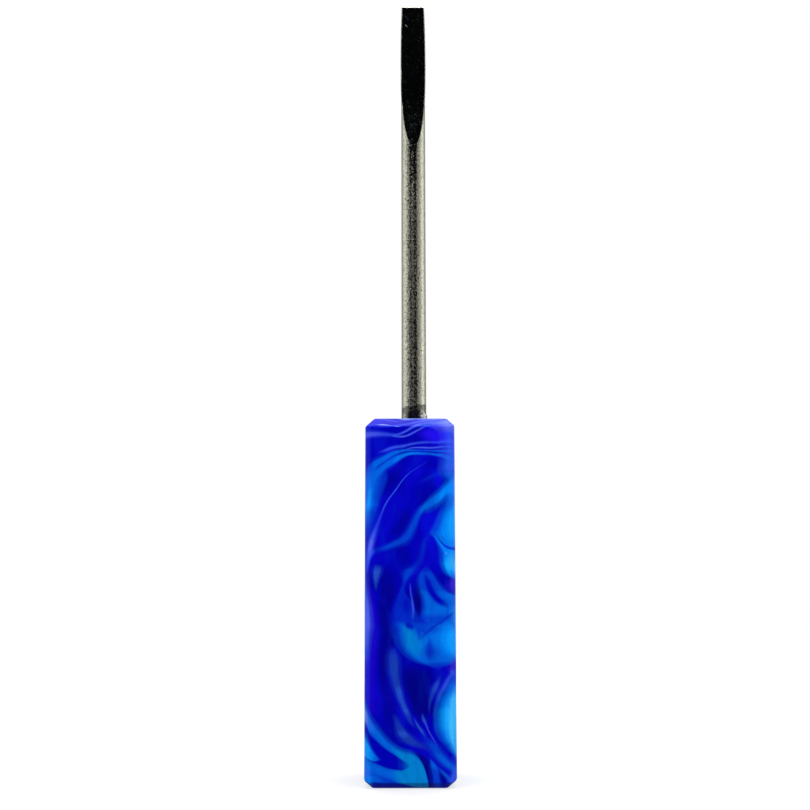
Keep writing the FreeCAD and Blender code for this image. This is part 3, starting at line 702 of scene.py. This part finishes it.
def scratch_place(g, across, up, slope, width, length, layer):
    """A place in scratch widths and lengths, for scratches that slope down to the right."""
    beside = g.plus(g.times(across, math.sin(slope)), g.times(up, math.cos(slope)))
    along = g.minus(g.times(across, math.cos(slope)), g.times(up, math.sin(slope)))
    return g.join(g.divide(beside, width), g.divide(along, length), layer)


def streaks(g, aside, z, slope, width, length, layer):
    """Noise drawn out into parallel scratches."""
    return g.noise(scratch_place(g, aside, z, slope, width, length, layer), 1.0, 2.0, 0.6)


def glinting_nick(g, aside, z, across, height, length, width):
    """Where one short scratch on the flat is, painted bright as a glint, centred at (across, height) mm."""
    off_x, off_z = g.minus(aside, across), g.minus(z, height)
    place = scratch_place(g, off_x, off_z, SCRATCH_SLOPE, width, length, 0.0)
    return g.step(g.vector("LENGTH", place), 1.0, 0.4)


def stripe(g, aside, centre, reach, painted_reflection):
    """1 within core mm of centre, fading to 0 at reach."""
    return g.step(g.math("ABSOLUTE", g.minus(aside, centre)), reach, painted_reflection)


def bar_skin(g, where, aside, pitted, fine):
    """The round bar: bare steel with dark pits and scale, thickest along the front, where painted dark
    streaks and painted glints stand in for reflection.

    Returns its colour, where the pitted band is, and where the flat runs out into it.
    """
    _, y, z = g.split(where)
    # the front band: real pits, crowded there and streaked dark as painted reflection
    front = g.step(y, -1.6, -2.9)
    band = g.times(front, stripe(g, aside, -0.4, 2.3, 0.9))
    fainter_dark_streak = g.times(stripe(g, aside, -0.75, 0.5, 0.1), 0.7)
    painted_dark_streaks = g.times(front, g.math("MAXIMUM", stripe(g, aside, 0.42, 0.6, 0.2), fainter_dark_streak))
    near_heel = g.times(g.step(z, HEEL - 14.0, HEEL), stripe(g, aside, 0.0, 1.4, 0.4))
    near_heel = g.times(near_heel, front)
    crowd = g.times_plus(painted_dark_streaks, 0.11, g.times_plus(band, 0.08, pitted))
    crowd = g.times_plus(near_heel, 0.1, crowd)
    runout = g.times(g.step(z, HEEL - 0.8, HEEL + 0.8), near_heel)
    pits = g.step(g.times_plus(runout, 0.13, crowd), 0.62, 0.67)
    # painted glints: bright specks in the front band
    painted_glints = g.times(band, g.step(g.noise(where, 2.9, 1.0), 0.58, 0.66))
    painted_glints = g.times(painted_glints, g.minus(1.0, near_heel))
    bare = g.mix(g.step(g.minus(fine, g.times(pitted, 0.35)), 0.3, 0.48),
                 srgb(176, 176, 160), srgb(216, 214, 196))
    bare = g.mix(painted_glints, bare, srgb(255, 254, 244))
    filled = g.times_plus(near_heel, 0.025, 0.965)
    bar = g.mix(g.times(pits, filled), bare, srgb(14, 15, 15))

    # the wet stain just above the glue
    stain_edge = g.times_plus(aside, 0.16, COLLAR_TOP + 0.75)
    stain_edge = g.times_plus(g.noise(where, 0.9), 0.5, stain_edge)
    stained = g.step(g.minus(z, stain_edge), 0.12, -0.12)
    stain = g.ramp(pitted, [(0.35, (0.2, 0.2, 0.22, 1.0)), (0.65, (0.52, 0.52, 0.5, 1.0))])[0]
    return g.mix(stained, bar, stain, "MULTIPLY"), band, runout


def flat_skin(g, where, aside, pitted, fine):
    """The ground flat: near black, cross scratched, mottled grey where it runs out.

    Returns its colour, with the sawn end's, and its scratches.
    """
    x, y, z = g.split(where)
    slanted = streaks(g, aside, z, SCRATCH_SLOPE, 0.16, 2.4, 3.0)
    steep = streaks(g, aside, z, STEEP_SLOPE, 0.2, 3.0, 8.0)
    scuffed = g.step(g.noise(where, 0.35, 2.0), 0.42, 0.66)
    scratches = g.times(g.step(slanted, 0.6, 0.75), scuffed)
    scratches = g.math("MAXIMUM", scratches, g.times(g.step(steep, 0.62, 0.76), 0.6))
    flat = g.mix(scratches, srgb(7, 12, 10), srgb(118, 132, 134))
    tail = g.times(g.step(z, HEEL + 12.5, HEEL + 7.0), stripe(g, aside, -0.2, 1.6, 0.4))
    broad = g.noise(g.join(x, y, g.times(z, 0.45)), 1.5, 2.0, 0.6)
    patches = g.times(g.step(broad, 0.48, 0.6), g.step(pitted, 0.5, 0.66))
    flat = g.mix(g.times(g.times(patches, tail), 0.8), flat, srgb(118, 122, 124))
    # painted glints: the nicks painted bright, as if lit
    for across, height, length, width, colour in GLINTING_NICKS:
        flat = g.mix(glinting_nick(g, aside, z, across, height, length, width), flat, srgb(*colour))
    worn = g.times(g.step(z, ROD_TIP - 0.3, ROD_TIP - 0.12), g.step(pitted, 0.4, 0.5))
    flat = g.mix(worn, flat, srgb(235, 230, 200))
    sawn = g.mix(fine, srgb(70, 70, 66), srgb(150, 150, 140))
    return g.mix(g.step(z, ROD_TIP - 0.05, ROD_TIP - 0.02), flat, sawn), scratches


def steel_material():
    """Dull round bar with a pitted skin, and the dark flat ground on it."""
    g = Graph.of_material("rod_steel")
    where = g.place()
    x, y, z = g.split(where)
    aside = g.minus(x, ROD_X)
    pitted = g.noise(g.join(x, y, g.times(z, 0.85)), 2.3, 2.0, 0.8)
    fine = g.noise(where, 4.0, 2.0, 0.6)

    # where the steel has been ground away
    depth = g.minus(ROD_R, g.vector("LENGTH", g.join(aside, y, 0.0)))
    low = g.step(z, HEEL + 19.0, HEEL + 12.0)
    cut = g.times_plus(fine, 0.06, g.times_plus(low, -0.05, depth))
    ground = g.times(g.step(cut, 0.05, 0.13), g.step(z, HEEL - 2.0, HEEL + 1.0))

    bar, band, runout = bar_skin(g, where, aside, pitted, fine)
    flat, scratches = flat_skin(g, where, aside, pitted, fine)
    roughness = g.step(g.minus(pitted, g.times(ground, 0.1)), 0.3, 0.7, 0.24, 0.4)
    roughened = g.times_plus(band, 0.85, 0.15)
    height = g.times(g.minus(roughened, g.times(ground, 0.1)), pitted)
    height = g.times_plus(g.times(scratches, ground), -0.06, height)
    height = g.times(height, g.times_plus(runout, -0.7, 1.0))
    return g.finish(Base_Color=g.mix(ground, bar, flat), Metallic=1.0, Roughness=roughness,
                    Normal=g.bump(height, 0.18))


def adhesive_material():
    """Cured clear epoxy: a thin film that wets the steel dark, darkest down the front as painted
    reflection, and a frothy lump of it.
    """
    g = Graph.of_material("clear_epoxy")
    where = g.place()
    x, y, _ = g.split(where)
    aside = g.minus(x, ROD_X)
    thick = g.minus(g.vector("LENGTH", g.join(aside, y, 0.0)), ROD_R)
    froth = g.noise(where, 2.2, 2.0, 0.6)
    # painted reflection: the film down the front is painted dark, like the dark reflection on the bare rod
    painted_reflection = g.times(g.step(y, -0.8, -2.6), stripe(g, aside, -0.15, 2.0, 0.9))
    wet = g.ramp(froth, [(0.35, srgb(96, 97, 90)), (0.65, srgb(158, 158, 146))])[0]
    dark = g.ramp(froth, [(0.4, srgb(8, 9, 26)), (0.56, srgb(44, 48, 70)),
                          (0.66, srgb(120, 124, 140))])[0]
    lump = g.ramp(froth, [(0.34, srgb(72, 74, 76)), (0.5, srgb(138, 140, 128)),
                          (0.66, srgb(222, 222, 204))])[0]
    colour = g.mix(g.step(thick, 0.12, 0.2), g.mix(painted_reflection, wet, dark), lump)
    return g.finish(Base_Color=colour, Metallic=g.step(thick, 0.2, 0.12),
                    Roughness=g.step(froth, 0.3, 0.7, 0.14, 0.3), Coat_Weight=0.5,
                    Coat_Roughness=0.08, Normal=g.bump(froth, 0.14, 0.8))


PAPER_GLOW = 0.6                 # the paper's own light, so that the tool's shadow on it stays faint


def floor_material():
    """Matt white paper with a faint tooth."""
    g = Graph.of_material("white_paper")
    tooth = g.noise(g.place(), 1.5, 3.0)
    colour, _ = g.ramp(tooth, [(0.3, srgb(146, 146, 146)), (0.7, srgb(150, 150, 150))])
    return g.finish(Base_Color=colour, Roughness=0.9, Specular_IOR_Level=0.0,
                    Emission_Color=WHITE, Emission_Strength=PAPER_GLOW)


# ---------------------------------------------------------------- the handle

SIDE_STEPS = 12                  # spans along each side of a ring
CORNER_STEPS = 8                 # spans round each corner of a ring
BEND_STEPS = 4                   # spans round each worn edge of a bevel
BEVEL_SOFTNESS = 0.14            # how much of a bevel its worn edges take up
TOP_BEVELS = (2.25, 1.9, 2.0, 2.2)       # front, right, back, left: each was sanded by hand
BUTT_BEVELS = (1.4, 2.1, 2.0, 1.9)
BODY_START = 3.2                 # heights of the plain body's first and last ring
BODY_END = LENGTH - 3.4
BODY_SPAN = 3.0                  # mm between its rings
UNDERSIDE_SHARES = (0.12, 0.35, 0.6, 0.85)       # sizes of the rings inside the butt's flat end
MOUTH_SHARES = (0.35, 0.7, 1.0)          # how far each ring on the top is on the way to the socket
UNEVENNESS = 0.05                # mm that hand sanding took off here and there
UNEVEN_SIZE = 14.0               # mm across such a hollow


def side_weights():
    """For each point of a ring: its side, the next side, and how far it is on the way to that."""
    weights = []
    for side in range(4):
        for _ in range(SIDE_STEPS):
            weights.append((side, (side + 1) % 4, 0.0))
        for step in range(CORNER_STEPS):
            weights.append((side, (side + 1) % 4, (step + 0.5) / CORNER_STEPS))
    return weights


def rounded_ring(insets, radius):
    """A rounded square, each side moved in by its own inset. Returns (point, outward) pairs."""
    front, right, back, left = insets
    corners = (
        Vector((HALF - right - radius, -HALF + front + radius, 0)),
        Vector((HALF - right - radius, HALF - back - radius, 0)),
        Vector((-HALF + left + radius, HALF - back - radius, 0)),
        Vector((-HALF + left + radius, -HALF + front + radius, 0)),
    )
    ring = []
    for side in range(4):
        outward = Vector((math.sin(side * math.pi / 2), -math.cos(side * math.pi / 2), 0))
        start = corners[side - 1] + outward * radius
        end = corners[side] + outward * radius
        for step in range(SIDE_STEPS):
            ring.append((blend(start, end, step / SIDE_STEPS), outward))
        for step in range(CORNER_STEPS):
            turn = (side + step / CORNER_STEPS) * math.pi / 2
            direction = Vector((math.sin(turn), -math.cos(turn), 0))
            ring.append((corners[side] + direction * radius, direction))
    return ring


def bend(start, middle, end):
    """Points round a worn edge: a quadratic curve from start to end, drawn towards middle."""
    points = []
    for step in range(BEND_STEPS + 1):
        t = step / BEND_STEPS
        points.append(tuple(
            (1 - t) ** 2 * a + 2 * t * (1 - t) * b + t * t * c
            for a, b, c in zip(start, middle, end)))
    return points


def soft_bevel():
    """A 45 degree bevel with worn edges, as (inset, drop) in bevel sizes, from the side inwards."""
    soft = BEVEL_SOFTNESS
    outer = bend((0, 1 + soft), (0, 1), (0.7 * soft, 1 - 0.7 * soft))
    inner = bend((1 - 0.7 * soft, 0.7 * soft), (1, 0), (1 + soft, 0))
    return [(0, 1 + 2 * soft)] + outer + [(0.5, 0.5)] + inner + [(1 + 2 * soft, 0)]


def handle_ring(insets, drops, radius, height):
    """One ring of the handle, at a height that each side may drop from, sanded a little uneven."""
    ring = []
    for (point, outward), (side, after, share) in zip(rounded_ring(insets, radius), side_weights()):
        drop = blend(drops[side], drops[after], share)
        place = Vector((point.x, point.y, height + drop))
        ring.append(place - outward * wobble(place, UNEVEN_SIZE, UNEVENNESS))
    return ring


def end_rings(bevels, height, inwards):
    """The rings of one bevelled end. inwards is 1 at the butt and -1 at the top."""
    rings = []
    for inset, drop in soft_bevel():
        radius = EDGE_RADIUS * (1 - 0.5 * min(1.0, inset))
        insets = [size * inset for size in bevels]
        drops = [inwards * size * drop for size in bevels]
        rings.append(handle_ring(insets, drops, radius, height))
    return rings


def socket_rings(rim):
    """The rings from the top's inner rim to the socket's mouth, and down to the drill's point."""
    mouth = []
    for point in rim:
        direction = Vector((point.x - ROD_X, point.y, 0)).normalized()
        mouth.append(Vector((ROD_X, 0, 0)) + direction * BORE_R)
    rings = []
    for share in MOUTH_SHARES:
        ring = []
        for outer, inner in zip(rim, mouth):
            ring.append(Vector((blend(outer.x, inner.x, share), blend(outer.y, inner.y, share), LENGTH)))
        rings.append(ring)
    rings.append([Vector((p.x, p.y, BORE_FLOOR)) for p in mouth])
    rings.append([Vector((ROD_X + (p.x - ROD_X) * 0.02, p.y * 0.02, BORE_POINT)) for p in mouth])
    return rings


def make_handle(material):
    """Square bar with rounded long edges, bevelled ends and the drilled socket."""
    butt = end_rings(BUTT_BEVELS, 0.0, 1.0)[::-1]
    top = end_rings(TOP_BEVELS, LENGTH, -1.0)
    rings = []
    for share in UNDERSIDE_SHARES:
        rings.append([Vector((p.x * share, p.y * share, 0)) for p in butt[0]])
    rings += butt
    spans = round((BODY_END - BODY_START) / BODY_SPAN)
    for step in range(spans + 1):
        height = blend(BODY_START, BODY_END, step / spans)
        rings.append(handle_ring((0,) * 4, (0,) * 4, EDGE_RADIUS, height))
    rings += top
    rings += socket_rings(top[-1])

    handle = mesh_piece("resin_handle", rings, material)
    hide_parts("handle")
    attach(handle, "root")


# ---------------------------------------------------------------- the shank

FRONT_STEPS = 30                 # spans across the front of a ring, where the flat is ground
BACK_STEPS = 62                  # spans round the rest of it
TANG_SPANS = 40                  # spans from the tang's end up to the heel
FLAT_SPANS = 80                  # spans from just above the heel to just below the tip
HEEL_RISES = (0.03, 0.12, 0.3, 0.6, 1.0, 1.5)    # closer rings, in mm above the heel
TIP_DROPS = (0.5, 0.4, 0.3, 0.22, 0.15, 0.1, 0.06, 0.03, 0.01, 0.0)    # and in mm below the tip
HEEL_HALF_WIDTH = 0.25           # half-width of the front stretch where there is no flat
TIP_CORNERS = (0.18, 0.4)        # rounding of the tip's left and right corner
TIP_WEAR = 0.14                  # wear along the end of the flat
TIP_BEVEL = 0.3                  # bevel at the back of the tip
BURR = 0.15                      # how far the grinding burr stands out along the flat's edges
BURR_TURN = 0.3                  # radians of the rod's side that the burr takes up


def flat_y(height):
    """How far back the ground surface is at a height: its y, or less than -ROD_R below the flat."""
    tip_y = ROD_R - TIP_THICKNESS
    below_tip = ROD_TIP - height
    plane_run = FLAT_LENGTH * math.cos(FLAT_ANGLE)
    if below_tip <= plane_run:
        return tip_y - below_tip * math.tan(FLAT_ANGLE)
    plane_end_y = tip_y - FLAT_LENGTH * math.sin(FLAT_ANGLE)
    hollow_run = HOLLOW_RADIUS * (math.sin(RAMP_ANGLE) - math.sin(FLAT_ANGLE))
    into_hollow = min(below_tip - plane_run, hollow_run)
    turn = math.asin(math.sin(FLAT_ANGLE) + into_hollow / HOLLOW_RADIUS)
    hollow_y = plane_end_y - HOLLOW_RADIUS * (math.cos(FLAT_ANGLE) - math.cos(turn))
    beyond = below_tip - plane_run - into_hollow
    return hollow_y - beyond * math.tan(RAMP_ANGLE)


def heel_height():
    """Where the ramp runs out through the front of the rod, found by halving."""
    low, high = ROD_TIP - 60.0, ROD_TIP
    for _ in range(40):
        middle = (low + high) / 2
        if flat_y(middle) < -ROD_R:
            low = middle
        else:
            high = middle
    return high


HEEL = heel_height()


def rod_radius(height):
    """The rod's radius at a height: bevelled and tapered where it is buried, then plain."""
    taper = blend(TANG_R, ROD_R, smoothstep(ROD_END, COLLAR_TOP, height))
    return min(taper, TANG_R - TANG_BEVEL + (height - ROD_END))


def corner_cut(rounding, below_end):
    """How far a corner of this rounding pulls in, this far below the end."""
    if below_end >= rounding:
        return 0.0
    return rounding - math.sqrt(rounding ** 2 - (rounding - below_end) ** 2)


def burr_at(height):
    """The burr's overhang left and right: nothing at the heel, full towards the tip, and ragged."""
    grown = smoothstep(HEEL + 6.0, HEEL + 20.0, height)
    left, right = (BURR + wobble(Vector((side, 0, height)), 1.6, 0.05) for side in (-3.0, 3.0))
    return left * grown, right * grown


def shank_ring(height):
    """One ring of the rod: across the ground front from left to right, then round the back."""
    radius = rod_radius(height)
    ground = flat_y(height)
    below_end = ROD_TIP - height
    half_width = HEEL_HALF_WIDTH
    if ground > -radius:
        half_width = max(half_width, math.sqrt(radius * radius - ground * ground))
    front = max(ground, -math.sqrt(radius ** 2 - half_width ** 2))
    start = math.asin(front / radius)
    left_burr, right_burr = burr_at(height)
    left = half_width + left_burr - corner_cut(TIP_CORNERS[0], below_end)
    right = half_width + right_burr - corner_cut(TIP_CORNERS[1], below_end)
    worn = corner_cut(TIP_WEAR, below_end)
    ring = []
    for step in range(FRONT_STEPS):
        across = blend(-left, right, step / FRONT_STEPS)
        on_rod = -math.sqrt(max(0.0, radius * radius - across * across))
        ring.append(Vector((ROD_X + across, max(on_rod, ground) + worn, height)))
    bevel = max(0.0, TIP_BEVEL - below_end)
    for step in range(BACK_STEPS):
        share = step / BACK_STEPS
        turn = blend(start, math.pi - start, share)
        edge_turn = min(turn - start, math.pi - start - turn)
        burr, corner = (right_burr, TIP_CORNERS[1]) if share < 0.5 else (left_burr, TIP_CORNERS[0])
        at_edge = max(0.0, 1 - edge_turn / BURR_TURN) ** 2
        reach = radius + burr * at_edge
        side = math.cos(turn) * (reach - corner_cut(corner, below_end))
        back = math.sin(turn) * (reach - bevel * (1 - at_edge))
        ring.append(Vector((ROD_X + side, back, height)))
    return ring


def make_shank(material):
    """Round rod from the buried tang to the tip, with its ground flat, hollow, ramp and burr."""
    heights = [ROD_END]
    for step in range(TANG_SPANS + 1):
        heights.append(blend(ROD_END + TANG_BEVEL, HEEL, step / TANG_SPANS))
    for rise in HEEL_RISES:
        heights.append(HEEL + rise)
    for step in range(1, FLAT_SPANS):
        heights.append(blend(HEEL + HEEL_RISES[-1], ROD_TIP - TIP_DROPS[0], step / FLAT_SPANS))
    for below_end in TIP_DROPS:
        heights.append(ROD_TIP - below_end)
    rings = [shank_ring(height) for height in heights]
    shank = mesh_piece("steel_shank", rings, material, sharp_degrees=35.0)
    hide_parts("shank")
    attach(shank, "root")


# ---------------------------------------------------------------- the adhesive

COLLAR_STEPS = 120               # points round the glue
COLLAR_SPANS = 18                # spans up the collar
FILM = 0.05                      # thickness of the glue that wets the rod, mm
FILM_RISE = 2.2                  # how high the film creeps up the rod on its low side
FOOT = 0.16                      # how far the glue's foot stands out all round
FOOT_RISE = 0.6                  # and how high it reaches
LUMP = 0.18                      # how far the lump at the right stands out
LUMP_TURN = math.radians(-22)    # where it is, round from the right towards the front
LUMP_TOP = 1.5                   # how high its edges reach; its middle is up to 1.3 higher
ROUGH = 0.12                     # how uneven the glue's surface is, at most


def collar_point(turn, share):
    """A point of the squeezed-out glue: share runs from the handle's top up to the film's edge."""
    direction = Vector((math.cos(turn), math.sin(turn), 0))
    rightness = 0.5 + 0.5 * math.cos(turn - LUMP_TURN)
    edge = blend(LENGTH + FILM_RISE, COLLAR_TOP - 0.12, smoothstep(0.35, 0.95, rightness))
    edge += wobble(direction * 3.0, 1.1, 0.1)
    height = blend(LENGTH, edge, share)
    above = height - LENGTH
    top = LUMP_TOP + wobble(direction * 3.0, 0.9, 1.3, 4.0) * smoothstep(0.8, 0.97, rightness)
    side = 0.8 + wobble(Vector((0, 0, above)), 0.7, 0.07, 2.0)
    heap = smoothstep(side, side + 0.08, rightness) * LUMP * smoothstep(top, top - 0.45, above)
    foot = FOOT * (1 - smoothstep(0.0, FOOT_RISE, above))
    thickness = FILM * (1 - share) ** 0.5 + max(heap, foot)
    place = Vector((ROD_X, 0, height)) + direction * (ROD_R + thickness)
    rough = wobble(place, 0.45, ROUGH) * min(1.0, thickness / 0.3)
    return place + direction * min(rough, FOOT_R - ROD_R - thickness)


def glue_ring(radius, height):
    """A plain ring round the rod's axis."""
    points = []
    for step in range(COLLAR_STEPS):
        turn = 2 * math.pi * step / COLLAR_STEPS
        points.append(Vector((ROD_X + radius * math.cos(turn), radius * math.sin(turn), height)))
    return points


def make_adhesive(material):
    """The glue line in the socket, and the collar that squeezed out of it."""
    rings = [
        glue_ring(0.05, BORE_POINT), glue_ring(BORE_R - 0.01, BORE_FLOOR),
        glue_ring(BORE_R - 0.01, LENGTH)]
    for span in range(COLLAR_SPANS + 1):
        rings.append([
            collar_point(2 * math.pi * step / COLLAR_STEPS, span / COLLAR_SPANS)
            for step in range(COLLAR_STEPS)])
    # back down just inside the rod's skin, so that the steel fills the glue
    rings += [
        glue_ring(ROD_R - 0.02, LENGTH + 1.8), glue_ring(TANG_R, ROD_END + TANG_BEVEL),
        glue_ring(TANG_R - TANG_BEVEL, ROD_END)]
    adhesive = mesh_piece("epoxy_collar", rings, material)
    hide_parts("adhesive")
    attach(adhesive, "root")


# ---------------------------------------------------------------- stage, light and camera

FLOOR_REACH = 0.4                # metres from the middle of the floor to its edges
# Softboxes that gloss mirrors: name, place, width and height in metres, and watts.
SOFTBOXES = (
    ("left_softbox", (-0.6, 0.1, 0.3), 0.4, 0.7, 0.35),
    ("right_softbox", (0.6, 0.06, 0.3), 0.45, 0.7, 0.65),
    ("top_softbox", (0.0, 0.0, 0.9), 0.8, 0.8, 8.6),
)
PANEL_POWER = 6.0                # watts
PANEL_SIZE = (0.6, 0.8)          # width and height, metres
PANEL_REACH = 0.85               # metres from the tool
PANEL_HEIGHT = 0.3               # metres above the floor, at its middle
SKY = 0.15                       # the dome's light on matt surfaces, from above the horizon
GROUND = 0.13                    # and from below it
MIRROR_DOME = ((0.0, 0.42), (0.25, 0.5), (0.42, 0.9), (0.6, 0.72), (0.75, 0.3), (0.9, 0.14), (1.0, 0.1))
MIRROR_GROUND = 0.6              # how bright that dome is below the horizon, as a share
MIRROR_TOP = 1.6                 # how bright it is overhead
CAMERA_DISTANCE = 294.0          # mm from the lens to the aim, in the plane of the handle's axis
CAMERA_PITCH = math.radians(7.95)
CAMERA_ROLL = math.radians(0.08)
CAMERA_AIM = 93.52               # height of the aim, mm
CAMERA_X = -1.25                 # mm, a little left of the handle's axis
LENS = 50.65                     # mm, on a 36 mm sensor


def make_floor():
    """A flat sheet of white paper. It neither shows in gloss nor lights matt surfaces."""
    mesh = bpy.data.meshes.new("floor")
    corners = [(x, y, 0) for x, y in ((-1, -1), (1, -1), (1, 1), (-1, 1))]
    mesh.from_pydata([Vector(corner) * FLOOR_REACH for corner in corners], [], [(0, 1, 2, 3)])
    mesh.materials.append(floor_material())
    floor = bpy.data.objects.new("floor", mesh)
    bpy.context.scene.collection.objects.link(floor)
    floor.visible_glossy = False
    floor.visible_diffuse = False


def soft_light(name, place, width, height, power, glossy=True):
    """A rectangular soft light at place, facing the tool, in metres and watts."""
    light = bpy.data.lights.new(name, "AREA")
    light.shape = "RECTANGLE"
    light.size = width
    light.size_y = height
    light.energy = power
    lamp = bpy.data.objects.new(name, light)
    lamp.location = place
    aim = Vector((0.0, 0.0, ROD_TIP * MM / 2))
    lamp.rotation_euler = (aim - Vector(place)).to_track_quat("-Z", "Y").to_euler()
    lamp.visible_camera = False
    lamp.visible_glossy = glossy
    bpy.context.scene.collection.objects.link(lamp)


def make_lights():
    """The softboxes, and a tent of four panels that only matt surfaces feel."""
    for name, place, width, height, power in SOFTBOXES:
        soft_light(name, place, width, height, power)
    for corner in range(4):
        turn = math.radians(45 + 90 * corner)
        place = (PANEL_REACH * math.cos(turn), PANEL_REACH * math.sin(turn), PANEL_HEIGHT)
        soft_light(f"panel_{corner + 1}", place, *PANEL_SIZE, PANEL_POWER, glossy=False)


def make_world():
    """A pale studio. It is white where the camera sees it, and lights matt surfaces evenly.

    Gloss sees a dome that is dark at the front, bright at both sides and pale behind: each pair in
    MIRROR_DOME is how far round to the front a direction is, from 0 to 1, and its brightness.
    """
    world = bpy.data.worlds.new("studio")
    bpy.context.scene.world = world
    world.use_nodes = True
    world.cycles.sampling_method = "NONE"
    g = Graph(world.node_tree)
    x, y, up = g.split(g.node("ShaderNodeTexCoord").outputs["Generated"])
    _, toward_back, _ = g.split(g.vector("NORMALIZE", g.join(x, y, 0.0)))
    mirror = g.curve(g.times_plus(toward_back, -0.5, 0.5), MIRROR_DOME)
    mirror = g.step(up, -0.12, 0.02, g.times(mirror, MIRROR_GROUND), mirror)
    mirror = g.step(up, 0.7, 0.95, mirror, MIRROR_TOP)
    matt = g.step(up, -0.05, 0.05, GROUND, SKY)
    seen = g.node("ShaderNodeLightPath").outputs
    strength = mirror
    for ray, given in (("Is Diffuse Ray", matt), ("Is Camera Ray", 1.0)):
        strength = g.node("ShaderNodeMix", {0: seen[ray], 2: strength, 3: given},
                          data_type="FLOAT").outputs[0]
    background = g.node("ShaderNodeBackground", {"Color": WHITE, "Strength": strength})
    g.node("ShaderNodeOutputWorld", {"Surface": background.outputs[0]})


def make_camera():
    """The camera in front of the tool, a little below the middle of it and looking up."""
    camera = bpy.data.cameras.new("camera")
    camera.lens = LENS
    camera.sensor_width = 36.0
    camera.clip_start = 0.01
    camera.clip_end = 100.0
    eye = bpy.data.objects.new("camera", camera)
    eye.location = Vector((
        CAMERA_X,
        -CAMERA_DISTANCE * math.cos(CAMERA_PITCH),
        CAMERA_AIM - CAMERA_DISTANCE * math.sin(CAMERA_PITCH))) * MM
    eye.rotation_euler = (math.pi / 2 + CAMERA_PITCH, CAMERA_ROLL, 0.0)
    bpy.context.scene.collection.objects.link(eye)
    bpy.context.scene.camera = eye


def main():
    """Build the tool and its studio."""
    bpy.context.scene.view_settings.view_transform = "Standard"
    make_handle(resin_material())
    make_shank(steel_material())
    make_adhesive(adhesive_material())
    make_floor()
    make_lights()
    make_world()
    make_camera()


main()
